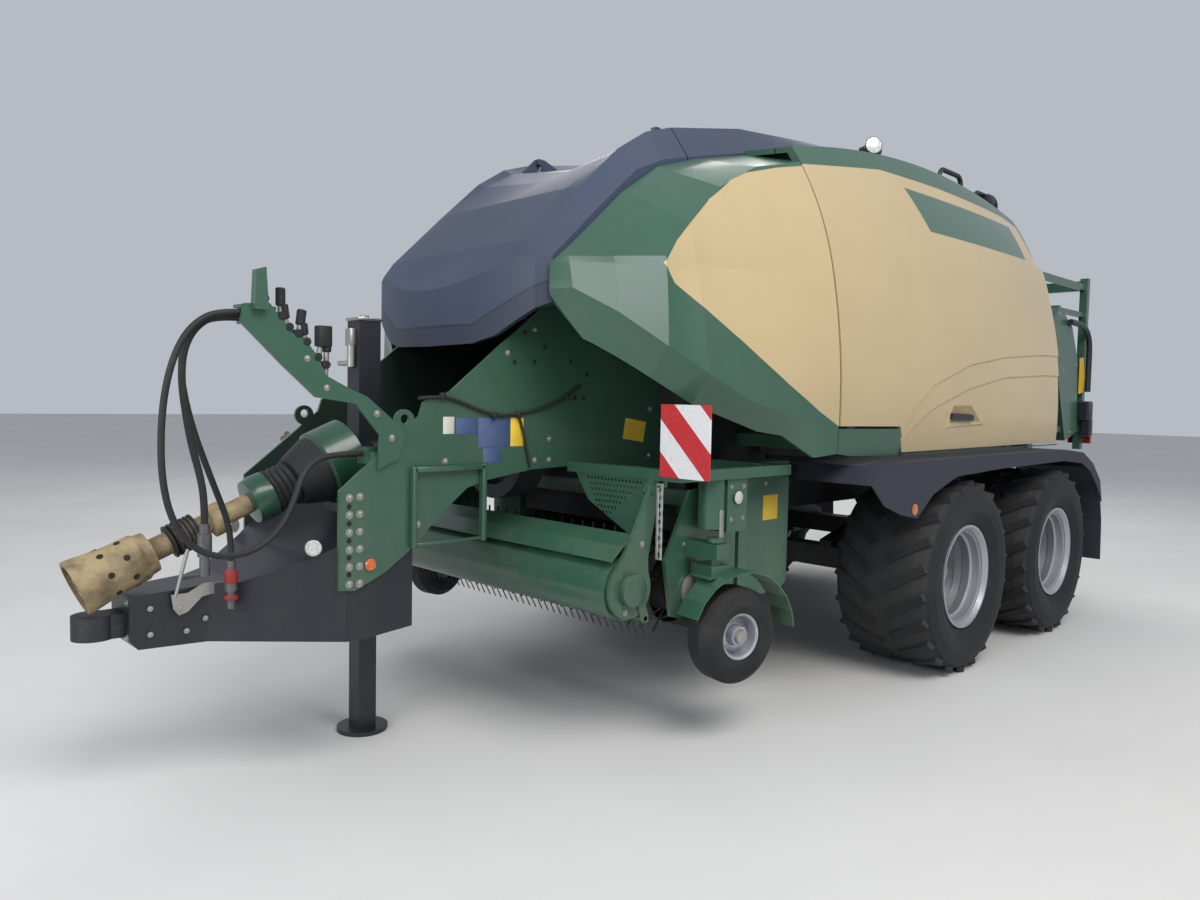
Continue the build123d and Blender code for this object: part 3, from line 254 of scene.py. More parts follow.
def gloss_panel(name, colour, shade, rough=0.26, coat=0.5, coat_rough=0.08, patch=None, band=None):
    """Moulded body panel: clear coat, slow waves and a little dust along the bottom.

    patch is the side-view outline of a green patch. band is the height of a groove, darkened as painted shade, with
    painted shade on the lip below it.
    """
    look = Look(name, Coat_Weight=coat, Coat_Roughness=coat_rough)
    cloud = look.noise(1.1, 3.0)
    fine = look.noise(60.0, 5.0, 0.7)
    wipe = look.noise(3.0, 4.0, 0.6, stretch=(0.35, 0.35, 1.6))
    low = look.ramp(look.axis("Z"), 1.75, 1.3)
    film = ((low * 0.45 + 0.05) * look.ramp(wipe, 0.4, 0.7) * look.ramp(fine, 0.35, 0.6)).clamped()
    tint = look.mix(look.ramp(cloud, 0.32, 0.68), colour, shade)
    waves = look.noise(2.2, 2.0) + look.noise(500.0, 2.0) * 0.02
    if patch:
        tint = look.mix(look.inside(patch), tint, GREEN)
    # Painted shade: a dark line in the groove and a darker band below it, on the lip that faces down
    if band:
        level = look.axis("Z") - (look.axis("Y").absolute() - BAND_LEVEL_Y).at_least(0.0) * BAND_RISE
        below = look.ramp(level, band + 0.003, band - 0.003)
        groove = look.ramp((level - band).absolute(), 0.008, 0.003)
        tint = look.mix(below * 0.75, tint, tuple(c * 0.45 for c in colour))
        tint = look.mix(groove * 0.8, tint, tuple(c * 0.2 for c in colour))
        waves = waves - groove * 0.4
    look.set(Base_Color=look.mix(film, tint, DUST), Roughness=(rough + film * 0.5 + fine * 0.05).clamped(),
             Normal=look.bump(waves, 0.1, 0.012))
    return look.material


def rubber(name, colour, dust=0.5, rough=0.72):
    """Plain rubber with dust in patches."""
    look = Look(name, Sheen_Weight=0.02, Specular_IOR_Level=0.32)
    fine, patch = look.noise(55.0, 6.0, 0.7), look.noise(4.5, 4.0, 0.6)
    film = (look.ramp(patch, 0.35, 0.72) * look.ramp(fine, 0.25, 0.65) * dust).clamped()
    look.set(Base_Color=look.mix(film, colour, DUST), Roughness=(rough + fine * 0.15).clamped(),
             Normal=look.bump(fine, 0.15, 0.002))
    return look.material


# Rings moulded on the tyre's wall, as (radius, half width), and the radii over which tread and grooves set in
WALL_RINGS = ((0.338, 0.004), (0.352, 0.003), (0.43, 0.003), (0.495, 0.004), (0.508, 0.003))
TREAD_FROM, TREAD_FULL = 0.53, 0.548
LUG_TOP, GROOVE_FULL = 0.574, 0.557
TREAD_DUST = (0.05, 0.049, 0.048)


def tyre_look(name, axle_x):
    """Tyre rubber: moulded rings on the wall, dust caught between the lugs."""
    look = Look(name, Sheen_Weight=0.02, Specular_IOR_Level=0.28)
    radius = look.from_axle(axle_x)
    rings = None
    for at, half in WALL_RINGS:
        ring = look.ramp((radius - at).absolute(), half * 1.6, half)
        rings = ring if rings is None else rings + ring
    fine, patch = look.noise(55.0, 6.0, 0.7), look.noise(4.5, 4.0, 0.6)
    groove = look.ramp(radius, LUG_TOP, GROOVE_FULL)
    tread = look.ramp(radius, TREAD_FROM, TREAD_FULL)
    film = (look.ramp(patch, 0.3, 0.72) * look.ramp(fine, 0.25, 0.65) * 0.35 + tread * groove * 0.35
            + tread * 0.12).clamped()
    look.set(Base_Color=look.mix(film, TYRE_BLACK, TREAD_DUST), Roughness=(0.66 + fine * 0.18).clamped(),
             Normal=look.bump(fine * 0.25 + rings, 0.35, 0.004))
    return look.material


STAIN = (0.12, 0.085, 0.055)


def bare_metal(name, colour, rough=0.38, stained=0.35):
    """Unpainted metal with an upright grain and brown stains, which are less metallic."""
    look = Look(name)
    grain = look.noise(24.0, 6.0, 0.7, stretch=(1.0, 1.0, 5.0))
    marks = (look.ramp(look.noise(16.0, 6.0, 0.75), 0.48, 0.68) * stained).clamped()
    look.set(Base_Color=look.mix(marks, colour, STAIN), Roughness=(rough + grain * 0.2 + marks * 0.3).clamped(),
             Metallic=(0.92 - marks * 0.7).clamped(), Normal=look.bump(grain, 0.12, 0.001))
    return look.material


def moulded(name, colour, rough=0.55, grime=(0.035, 0.03, 0.025), grimy=0.5):
    """Grained black or coloured plastic with grime in patches."""
    look = Look(name, Specular_IOR_Level=0.4)
    patch, fine = look.noise(9.0, 6.0, 0.65), look.noise(300.0, 2.0)
    film = (look.ramp(patch, 0.4, 0.7) * grimy).clamped()
    look.set(Base_Color=look.mix(film, colour, grime), Roughness=(rough + film * 0.2 + fine * 0.08).clamped(),
             Normal=look.bump(fine, 0.12, 0.001))
    return look.material


STRIPE_PERIOD, STRIPE_START = 0.285, 0.393
BOARD_WHITE, BOARD_RED = (0.72, 0.71, 0.72), (0.5, 0.025, 0.03)


def striped_board(name):
    """Red and white diagonal stripes, mirrored from side to side, as on any wide-load board."""
    look = Look(name, Coat_Weight=0.3, Coat_Roughness=0.15)
    lean = (look.axis("Y").absolute() + look.axis("Z")) * (1.0 / STRIPE_PERIOD)
    red = (lean + STRIPE_START).fraction() > 0.5
    fine = look.noise(70.0, 4.0)
    tint = look.mix(red, BOARD_WHITE, BOARD_RED)
    look.set(Base_Color=look.mix(look.ramp(fine, 0.5, 0.8, 0.0, 0.25), tint, DUST),
             Roughness=(0.25 + fine * 0.12).clamped(), Normal=look.bump(look.noise(900.0, 1.0), 0.05, 0.0005))
    return look.material


def lens(name, colour):
    """Coloured lamp glass with small round ribs."""
    look = Look(name, Coat_Weight=0.8, Coat_Roughness=0.05, IOR=1.5)
    ribs = look.node("ShaderNodeTexVoronoi", {}, Vector=look.place, Scale=160.0)
    deep = tuple(c * 0.55 for c in colour)
    look.set(Base_Color=look.mix(look.ramp(ribs, 0.1, 0.6), colour, deep), Roughness=(0.12 + ribs * 0.1).clamped(),
             Normal=look.bump(ribs, 0.35, 0.002))
    return look.material


finish = {
    "green_paint": painted("green enamel", GREEN, GREEN_SHADE),
    "dark_green_paint": painted("dark green enamel", (0.016, 0.075, 0.045), (0.012, 0.055, 0.033)),
    "cream_panel": gloss_panel("cream panel", CREAM, CREAM_SHADE),
    # The hood, with painted shade in its groove and on the band below
    "hood_grey": gloss_panel("blue-grey hood", (0.033, 0.048, 0.09), (0.028, 0.041, 0.077), rough=0.5, coat=0.12,
                             coat_rough=0.4, band=1.928),
    "black_paint": painted("black enamel", (0.009, 0.012, 0.019), (0.007, 0.009, 0.015), dust=0.05, rough=0.42,
                           coat=0.12),
    "chassis_black": painted("chassis black", (0.012, 0.013, 0.017), (0.009, 0.01, 0.013), rough=0.55, coat=0.1,
                             dust=0.14),
    "fender_plastic": moulded("fender plastic", (0.022, 0.027, 0.042), grime=(0.045, 0.043, 0.042), grimy=0.3),
    "rubber": rubber("black rubber", (0.014, 0.015, 0.017), dust=0.08, rough=0.5),
    "tyre": rubber("tyre rubber", TYRE_BLACK, dust=0.12),
    "rim_silver": painted("silver rim enamel", (0.42, 0.44, 0.48), (0.36, 0.38, 0.42), rough=0.34, metallic=0.55,
                          dust=0.3, dust_top=1.2),
    "steel": bare_metal("worn steel", (0.36, 0.36, 0.37)),
    "tan_plastic": moulded("faded guard plastic", (0.33, 0.25, 0.135), rough=0.5, grime=(0.045, 0.036, 0.026),
                           grimy=0.85),
    "board": striped_board("striped board"),
    "lamp": lens("red lens", (0.5, 0.02, 0.02)),
}
slot_of = {row["node"]: row["material_slot"] for row in frame["record"]["subparts"]}

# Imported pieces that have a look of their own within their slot
DOOR_PATCH = [(0.29, 2.878), (-1.34, 2.89), (-1.41, 2.652), (0.14, 2.63)]
own = {}
own["side_door_left"] = own["side_door_right"] = gloss_panel("cream door", CREAM, CREAM_SHADE, patch=DOOR_PATCH)
# Front plates and side shells get painted shade on the faces that look inwards
own["front_plates"] = own["side_shells"] = painted("green enamel, painted shade inside", GREEN, GREEN_SHADE, shaded=0.85)
for end, axle_x in AXLES:
    own[f"tyre_{end}_left"] = own[f"tyre_{end}_right"] = tyre_look(f"{end} tyre", axle_x)
    # Rims with painted shade in their pressed steps and bowl
    own[f"rim_{end}_left"] = own[f"rim_{end}_right"] = painted(
        f"silver {end} rim", (0.4, 0.42, 0.46), (0.34, 0.36, 0.4), rough=0.34, metallic=0.5, dust=0.3, dust_top=1.2,
        axle_x=axle_x)
own["hitch_spoon"] = bare_metal("dark cast hook", (0.055, 0.06, 0.07), rough=0.45)
own["hose_couplers"] = bare_metal("dark coupler steel", (0.16, 0.16, 0.165), rough=0.4)
own["chains"] = bare_metal("bright chain", (0.62, 0.62, 0.6), rough=0.3, stained=0.15)
for name, node in nodes.items():
    node.data.materials.clear()
    node.data.materials.append(own.get(name) or finish[slot_of[name]])

# Looks of the fittings alone
zinc = bare_metal("zinc bolts", (0.42, 0.41, 0.38), rough=0.34, stained=0.25)
amber = lens("amber lens", (0.78, 0.17, 0.02))
clear = lens("clear lens", (0.75, 0.76, 0.72))
blue_sticker = moulded("blank blue sticker", (0.045, 0.085, 0.2), rough=0.4, grimy=0.35, grime=(0.13, 0.15, 0.18))
pale_sticker = moulded("blank pale sticker", (0.62, 0.62, 0.56), rough=0.4, grimy=0.25, grime=(0.2, 0.18, 0.14))
yellow_sticker = moulded("blank yellow sticker", (0.75, 0.5, 0.04), rough=0.4, grimy=0.25, grime=(0.25, 0.18, 0.06))
red_plastic = moulded("red plastic", (0.26, 0.022, 0.02), rough=0.42)
yellow_paint = painted("yellow enamel", (0.72, 0.46, 0.02), (0.62, 0.38, 0.02), dust=0.15)
# Near black discs drawn for holes, as painted shade
hole_painted_shade = moulded("painted shade in holes", (0.012, 0.012, 0.013), rough=0.8)
# Darker cream sheet: painted shade in the door handles' hollows
hollow_painted_shade = moulded("painted shade in the handle hollow", (0.3, 0.215, 0.1), rough=0.4, grimy=0.4,
                       grime=(0.16, 0.12, 0.07))


# ---- Small fittings, joined by finish and body

SHARP_ANGLE = math.radians(38.0)


def bent_curve(name, points, radius, round_steps, bend_steps):
    """A round tube that runs smoothly from the first point to the last and is drawn to those between."""
    curve = bpy.data.curves.new(name, "CURVE")
    curve.dimensions = "3D"
    line = curve.splines.new("NURBS")
    line.points.add(len(points) - 1)
    for made, p in zip(line.points, points):
        made.co = (*spot(*p), 1.0)
    line.order_u = 3
    line.use_endpoint_u = True
    curve.bevel_depth = radius
    curve.bevel_resolution = round_steps
    curve.resolution_u = bend_steps
    curve.use_fill_caps = True
    return curve


class Pile:
    """Small pieces of one finish on one body, gathered into one mesh. Places are from the front tandem axle."""

    def __init__(self, name, body, look, both=False):
        """look is a slot's name or a material. both adds the mirror image on the other side."""
        self.name, self.body, self.look, self.both = name.replace(" ", "_"), body, look, both
        self.mesh = bmesh.new()

    def hull(self, rings, closed=True):
        """Joins rings of equal length by faces, with a cap at each end if closed."""
        made = [[self.mesh.verts.new(spot(*p)) for p in ring] for ring in rings]
        count = len(made[0])
        for low, high in zip(made, made[1:]):
            for i in range(count):
                self.mesh.faces.new((low[i], low[(i + 1) % count], high[(i + 1) % count], high[i]))
        if closed:
            self.mesh.faces.new(made[0][::-1])
            self.mesh.faces.new(made[-1])

    def block(self, x0, x1, y0, y1, z0, z1, chamfer=0.003):
        """A box with chamfered edges."""
        c = min(chamfer, abs(x1 - x0) / 3, abs(y1 - y0) / 3, abs(z1 - z0) / 3)

        def ring(y, inset):
            a, b, low, top = x0 + inset, x1 - inset, z0 + inset, z1 - inset
            return [(a, y, low + c), (a, y, top - c), (a + c, y, top), (b - c, y, top), (b, y, top - c),
                    (b, y, low + c), (b - c, y, low), (a + c, y, low)]

        self.hull([ring(y0, c), ring(y0 + c, 0), ring(y1 - c, 0), ring(y1, c)])

    def sheet(self, outline, y0, y1):
        """A plate from its (x, z) outline."""
        self.hull([[(x, y0, z) for x, z in outline], [(x, y1, z) for x, z in outline]])

    def lathe(self, start, axis, profile, sides=20, closed=True):
        """Rings of (radius, distance along the axis) round a line."""
        start, axis = Vector(start), Vector(axis).normalized()
        across = axis.orthogonal().normalized()
        other = axis.cross(across)
        rings = []
        for radius, along in profile:
            centre = start + axis * along
            rings.append([tuple(centre + (across * math.cos(t) + other * math.sin(t)) * radius)
                          for t in turns(sides)])
        self.hull(rings, closed)

    def rod(self, a, b, radius, sides=16):
        """A round rod from a to b with chamfered ends."""
        span = (Vector(b) - Vector(a)).length
        c = min(radius * 0.2, span * 0.2)
        self.lathe(a, Vector(b) - Vector(a),
                   [(radius - c, 0), (radius, c), (radius, span - c), (radius - c, span)], sides)

    def bolt(self, at, axis, size):
        """A hexagon head on its washer. The washer's radius is 0.92 of the size."""
        self.lathe(at, axis, [(size * 0.92, 0), (size * 0.92, size * 0.1), (size * 0.8, size * 0.12)], 20)
        self.lathe(at, axis, [(size * 0.56, size * 0.1), (size * 0.58, size * 0.14), (size * 0.58, size * 0.5),
                              (size * 0.46, size * 0.58)], 6)

    def side_bolts(self, y, size, places):
        """Bolts on a face that looks to the left, from their (x, z) places."""
        for x, z in places:
            self.bolt((x, y, z), LEFT, size)

    def pipe(self, points, radius, round_steps=3):
        """A bent tube along the points."""
        holder = bpy.data.objects.new(self.name, bent_curve(self.name, points, radius, round_steps, 6))
        self.mesh.from_mesh(bpy.data.meshes.new_from_object(holder))
        bpy.data.objects.remove(holder)

    def done(self):
        """Makes the object, smooth except over sharp edges, and rides it on its body."""
        if self.both:
            half = bpy.data.meshes.new("half")
            self.mesh.to_mesh(half)
            half.transform(Matrix.Scale(-1, 4, LEFT))
            half.flip_normals()
            self.mesh.from_mesh(half)
            bpy.data.meshes.remove(half)
        bmesh.ops.recalc_face_normals(self.mesh, faces=self.mesh.faces)
        mesh = bpy.data.meshes.new(self.name)
        self.mesh.to_mesh(mesh)
        self.mesh.free()
        made = bpy.data.objects.new(self.name, mesh)
        scene.collection.objects.link(made)
        for face in mesh.polygons:
            face.use_smooth = True
        mesh.set_sharp_from_angle(angle=SHARP_ANGLE)
        mesh.materials.append(finish[self.look] if isinstance(self.look, str) else self.look)
        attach(made, self.body)


# Bolts in the front plates: two columns down the front edge, as (x, lowest, highest), and single ones
PLATE_FACE = 0.465
EDGE_COLUMNS = ((3.515, 0.83, 1.181), (3.469, 0.828, 1.183))
EDGE_BOLTS = 6
plate_bolts = Pile("front plate bolts", "chassis", zinc, both=True)
for x, low, high in EDGE_COLUMNS:
    plate_bolts.side_bolts(PLATE_FACE, 0.018, [(x, z) for z in spread(low, high, EDGE_BOLTS)])
plate_bolts.side_bolts(PLATE_FACE, 0.017, (
    (2.55, 1.30), (2.46, 1.30), (2.46, 1.40), (3.058, 1.312), (3.195, 1.047), (3.345, 1.395), (3.364, 1.373),
    (1.75, 1.30), (1.75, 1.55), (1.75, 1.80), (2.72, 1.80), (2.56, 1.92)))
plate_bolts.done()

# Frame for the hoses on the left plate: two uprights, a top bar and a thin bar at the foot
FRAME_REAR, FRAME_FRONT = 2.862, 3.225
hose_frame = Pile("hose frame", "chassis", "green_paint")
for x in (FRAME_FRONT, FRAME_REAR):
    hose_frame.block(x - 0.012, x + 0.012, PLATE_FACE, PLATE_FACE + 0.03, 0.95, 1.295)
hose_frame.block(FRAME_REAR, FRAME_FRONT, PLATE_FACE + 0.003, PLATE_FACE + 0.03, 1.272, 1.294)
hose_frame.block(FRAME_REAR, FRAME_FRONT, PLATE_FACE + 0.003, PLATE_FACE + 0.016, 0.955, 0.967)
hose_frame.done()

# Amber reflectors, on the front plates and on the fenders
reflectors = Pile("plate reflectors", "chassis", amber, both=True)
reflectors.lathe((3.421, PLATE_FACE, 0.9), LEFT, [(0.024, 0), (0.026, 0.006), (0.021, 0.012)], 28)
reflectors.lathe((0.754, 1.486, 1.04), LEFT, [(0.029, 0), (0.031, 0.004), (0.026, 0.007)], 28)
reflectors.done()

# Stickers without words, on the front plates and the side beams
STICKER, STICKER_EDGE = 0.0012, 0.0004
BEAM_FACE = 1.008
for name, look, patches in (
        ("pale", pale_sticker, ((3.013, 3.071, 1.432, 1.507),)),
        ("blue", blue_sticker, ((2.886, 3.003, 1.43, 1.502), (2.702, 2.883, 1.368, 1.502),
                                (2.745, 2.855, 1.299, 1.365))),
        ("yellow", yellow_sticker, ((2.622, 2.699, 1.37, 1.502),))):
    blank = Pile(f"blank {name} stickers", "chassis", look, both=True)
    for x0, x1, z0, z1 in patches:
        blank.block(x0, x1, PLATE_FACE, PLATE_FACE + STICKER, z0, z1, STICKER_EDGE)
    blank.done()
warning = Pile("blank warning patches", "chassis", yellow_sticker, both=True)
warning.sheet([(1.80, 1.372), (1.955, 1.394), (1.935, 1.502), (1.78, 1.48)], PLATE_FACE, PLATE_FACE + STICKER)
warning.block(1.33, 1.46, BEAM_FACE, BEAM_FACE + STICKER, 0.985, 1.115, STICKER_EDGE)
warning.done()

# Holes in the front plates, as thin dark discs of painted shade: single ones, and a column between the front edge's
# bolts
DISC_THICK = 0.002
holes = Pile("plate holes", "chassis", hole_painted_shade, both=True)
for x, z in ((2.62, 1.90), (2.50, 1.84), (2.68, 1.76), (2.56, 1.765), (2.33, 1.78), (2.22, 1.72), (2.27, 1.66),
             (2.30, 1.60), (2.24, 1.60)):
    holes.lathe((x, PLATE_FACE - 0.001, z), LEFT, [(0.012, 0), (0.012, DISC_THICK)], 16)
for z in spread(0.8695, 1.1455, EDGE_BOLTS - 1):
    holes.lathe((3.516, PLATE_FACE - 0.001, z), LEFT, [(0.011, 0), (0.011, DISC_THICK)])
holes.done()

# Brake pipe across the left plate, with its branch and clips
PIPE_Y = 0.474
brake_pipe = Pile("brake pipe", "chassis", "rubber")
brake_pipe.pipe([(x, PIPE_Y, z) for x, z in (
    (3.20, 1.585), (3.08, 1.60), (2.95, 1.56), (2.80, 1.51), (2.66, 1.52), (2.50, 1.55), (2.36, 1.60),
    (2.28, 1.66))], 0.008)
brake_pipe.pipe([(2.66, PIPE_Y, 1.52), (2.63, 0.476, 1.44), (2.60, PIPE_Y, 1.33), (2.585, 0.472, 1.27)], 0.006)
for x, z in ((3.08, 1.597), (2.80, 1.515), (2.66, 1.52), (2.36, 1.60)):
    brake_pipe.block(x - 0.012, x + 0.012, PLATE_FACE, PLATE_FACE + 0.02, z - 0.014, z + 0.014, 0.002)
brake_pipe.done()

# Drawbar bolts: on its left side, which runs outwards to the rear, and round the hitch
DRAWBAR_TIP_X, DRAWBAR_TIP_Y, DRAWBAR_FLARE = 4.23, 0.118, 0.071
draw_bolts = Pile("drawbar bolts", "chassis", zinc)
for x, z in ((4.16, 0.765), (4.16, 0.665), (4.05, 0.765), (4.03, 0.66), (3.96, 0.70)):
    draw_bolts.bolt((x, DRAWBAR_TIP_Y + (DRAWBAR_TIP_X - x) * DRAWBAR_FLARE, z), (0.07, 1, 0), 0.012)
for y in (-0.084, 0.084):
    for z in (0.655, 0.79):
        draw_bolts.bolt((4.2302, y, z), AHEAD, 0.016)
draw_bolts.done()

# Rest for the unhitched shaft: two cheeks, the pin between them, a catch and a bolt
REST = [(4.091, 0.812), (4.084, 0.756), (4.062, 0.728), (4.03, 0.738), (3.975, 0.791), (3.885, 0.803), (3.885, 0.839),
        (3.967, 0.842), (4.03, 0.812)]
shaft_rest = Pile("shaft rest", "chassis", zinc)
for y in (-0.065, 0.138):
    shaft_rest.sheet(REST, y, y + 0.008)
shaft_rest.rod((3.905, -0.06, 0.822), (3.905, 0.142, 0.822), 0.012)
shaft_rest.rod((4.075, 0.142, 0.80), (4.03, 0.15, 0.985), 0.007)
shaft_rest.bolt((4.06, 0.146, 0.755), LEFT, 0.014)
shaft_rest.done()

disc = Pile("white reflector", "chassis", clear, both=True)
disc.lathe((3.629, 0.387, 0.98), (0.55, 0.835, 0), [(0.031, 0), (0.033, 0.008), (0.029, 0.012)], 28)
disc.done()

# Drive shaft's guards, along its line: the corrugated ring, the cup, the cone's holes as dark discs of painted shade,
# and the collars
ROOT = Vector((3.3, 0.065, 1.33))
RUN = Vector((0.91608, -0.03782, -0.39921)).normalized()
BELLOWS_START, BELLOWS_PITCH, BELLOWS_FOLDS = 0.715, 0.017, 7
BELLOWS_INNER, BELLOWS_OUTER = 0.052, 0.068
profile = []
for fold in range(BELLOWS_FOLDS):
    start = BELLOWS_START + fold * BELLOWS_PITCH
    profile += [(BELLOWS_INNER, start), (BELLOWS_OUTER, start + 0.0045), (BELLOWS_OUTER, start + 0.0115),
                (BELLOWS_INNER, start + 0.016)]
bellows = Pile("shaft guard bellows", "chassis", "rubber")
bellows.lathe(ROOT, RUN, profile, 32)
bellows.done()
cup = Pile("shaft guard cup", "chassis", "dark_green_paint")
cup.lathe(ROOT, RUN, [(0.06, 0.395), (0.1, 0.4), (0.102, 0.45), (0.094, 0.485), (0.06, 0.49)], 36)
cup.done()
HOLES_ROUND = 7
sideways = RUN.cross(UP).normalized()
upward = sideways.cross(RUN)
cone_holes = Pile("guard cone holes", "chassis", hole_painted_shade)
for along, radius, shift in ((1.0, 0.095, 0.0), (1.075, 0.0981, 0.4)):
    for t in turns(HOLES_ROUND, shift):
        out = sideways * math.cos(t) + upward * math.sin(t)
        cone_holes.lathe(ROOT + RUN * along + out * (radius - 0.001), out, [(0.012, 0), (0.012, 0.0025)], 16)
cone_holes.done()
collar = Pile("shaft collars", "chassis", "tan_plastic")
collar.lathe(ROOT, RUN, [(0.05, 0.90), (0.082, 0.905), (0.088, 0.95), (0.094, 0.96), (0.094, 0.975), (0.07, 0.98)], 32)
collar.lathe(ROOT, RUN, [(0.05, 0.60), (0.066, 0.605), (0.066, 0.66), (0.05, 0.665)], 32)
collar.done()

# Jack: the cap on its top, and the gear head and crank on its front
jack_bits = Pile("jack cap and fittings", "chassis", zinc)
jack_bits.block(3.092, 3.218, -0.128, -0.002, 1.938, 1.952, 0.004)
jack_bits.rod((3.155, -0.065, 1.95), (3.155, -0.065, 1.966), 0.022)
jack_bits.block(3.21, 3.24, -0.09, -0.04, 1.82, 1.90)
jack_bits.rod((3.225, -0.06, 1.72), (3.225, -0.06, 1.83), 0.018)
jack_bits.rod((3.225, -0.06, 1.74), (3.245, -0.14, 1.74), 0.012)
jack_bits.bolt((3.21, -0.065, 1.86), AHEAD, 0.02)
jack_bits.done()

# Parked couplers on the hose arm's head, as (x, foot height, lean forward, height over the foot), and the arm's bolts
PARKED = ((3.865, 1.915, 0.006, 0.10), (3.80, 1.84, 0.0, 0.15), (3.77, 1.81, 0.02, 0.12), (3.735, 1.785, -0.02, 0.13),
          (3.70, 1.765, 0.012, 0.10), (3.655, 1.69, -0.025, 0.16), (3.62, 1.65, -0.01, 0.20))
PARKED_Y, ARM_FACE = 0.462, 0.4773
couplers = Pile("parked couplers", "chassis", zinc)
caps = Pile("coupler caps", "chassis", "rubber")
for x, foot, lean, tall in PARKED:
    waist = Vector((x + lean * 0.6, PARKED_Y, foot + tall * 0.55))
    couplers.rod((x, PARKED_Y, foot), waist, 0.011)
    caps.rod(waist, (x + lean, PARKED_Y, foot + tall), 0.018)
    caps.rod((x, 0.44, foot + tall * 0.3), (x, 0.482, foot + tall * 0.3), 0.016)
caps.block(3.60, 3.655, 0.44, 0.485, 1.78, 1.86)
caps.done()
couplers.side_bolts(ARM_FACE, 0.014, ((3.70, 1.73), (3.62, 1.62)))
couplers.side_bolts(ARM_FACE, 0.016, ((3.40, 1.52), (3.33, 1.42)))
couplers.done()

# Red sleeves on the coupler that hangs beside the drawbar, as (top, length)
sleeves = Pile("coupler sleeves", "chassis", red_plastic)
for top, length in ((0.902, 0.05), (0.80, 0.014)):
    sleeves.lathe((3.896, 0.232, top), DOWN,
                  [(0.0245, 0), (0.0262, 0.004), (0.0262, length), (0.0245, length + 0.004)], 28)
sleeves.done()

# Big wheels: nuts round each hub, the hub's cap, the valve, and the steps of the rim's bowl
NUTS, NUT_CIRCLE, NUT_Y = 10, 0.148, 1.2405
HUB_Y, HUB_CAP = 1.28, [(0.064, 0), (0.068, 0.004), (0.066, 0.03), (0.05, 0.042), (0.02, 0.046)]
RIM_Y = 1.19
RIM_BOWL = [(0.2755, 0.238), (0.264, 0.23), (0.262, 0.188), (0.248, 0.178), (0.246, 0.135), (0.256, 0.126),
            (0.256, 0.08), (0.2755, 0.072), (0.2755, 0.238)]
for end, x in AXLES:
    for hand, side in HANDS:
        body, outward = f"wheel_{end}_{hand}", (0, side, 0)
        nuts = Pile(f"nuts of {body}", body, zinc)
        for t in turns(NUTS):
            nuts.bolt((x + NUT_CIRCLE * math.cos(t), side * NUT_Y, AXLE_Z + NUT_CIRCLE * math.sin(t)), outward, 0.024)
        nuts.lathe((x, side * HUB_Y, AXLE_Z), outward, HUB_CAP, 32)
        nuts.rod((x + 0.235, side * 1.222, AXLE_Z), (x + 0.25, side * 1.262, AXLE_Z), 0.006, 8)
        nuts.done()
        steps = Pile(f"rim steps of {body}", body, own[f"rim_{end}_{hand}"])
        steps.lathe((x, side * RIM_Y, AXLE_Z), outward, RIM_BOWL, 64, closed=False)
        steps.done()

# Gauge wheels, which rest turned: the hub's cap and nuts
TURN = math.radians(12)
GAUGE_NUTS, GAUGE_NUT_CIRCLE = 5, 0.068
for hand, side in HANDS:
    body = f"gauge_wheel_{hand}"
    axis = Vector((math.sin(TURN), side * math.cos(TURN), 0))
    centre = Vector((1.9624, side * 1.20787, 0.517))
    nuts = Pile(f"nuts of {body}", body, zinc)
    nuts.lathe(centre + axis * 0.06, axis, [(0.032, 0), (0.034, 0.004), (0.03, 0.018), (0.012, 0.022)], 24)
    flat = axis.cross(UP)
    for t in turns(GAUGE_NUTS):
        nuts.bolt(centre + axis * 0.0115 + (UP * math.cos(t) + flat * math.sin(t)) * GAUGE_NUT_CIRCLE, axis, 0.014)
    nuts.done()

# Door handles in their dishes, with a darker cream sheet in each hollow as painted shade
for hand, side in HANDS:
    for part, look, outline, y0, y1 in (
            ("dish", "cream_panel", [(0.10, 1.468), (0.03, 1.622), (-0.25, 1.625), (-0.43, 1.49)], 1.325, 1.341),
            ("hollow", hollow_painted_shade, [(0.062, 1.50), (0.015, 1.60), (-0.235, 1.603), (-0.372, 1.505)], 1.3405, 1.3425),
            ("grip", "black_paint", [(0.055, 1.518), (0.05, 1.555), (-0.21, 1.548), (-0.235, 1.535), (-0.23, 1.51)],
             1.342, 1.362)):
        plate = Pile(f"door {part} {hand}", f"door_{hand}", look)
        plate.sheet(outline, y0 * side, y1 * side)
        plate.done()

# Work lamps' bezels and faces, and the lamps on posts at the roof's rear
LAMP_PLACE, LAMP_AIM = (0.24, 0.868, 3.17), (0.62, 0.77, 0.12)
for name, look, rings in (
        ("lamp bezels", "black_paint", [(0.03, -0.012), (0.053, 0), (0.054, 0.022), (0.048, 0.025)]),
        ("lamp faces", clear, [(0.049, 0.018), (0.049, 0.026), (0.03, 0.029), (0.01, 0.03)])):
    work_lamps = Pile(name, "chassis", look, both=True)
    work_lamps.lathe(LAMP_PLACE, LAMP_AIM, rings, 28)
    work_lamps.done()
rear_lamp = Pile("rear roof lamps", "chassis", "black_paint", both=True)
rear_lamp.block(-1.60, -1.48, 0.79, 0.87, 3.10, 3.185, 0.012)
rear_lamp.rod((-1.54, 0.83, 3.0), (-1.54, 0.83, 3.11), 0.014)
rear_lamp.done()

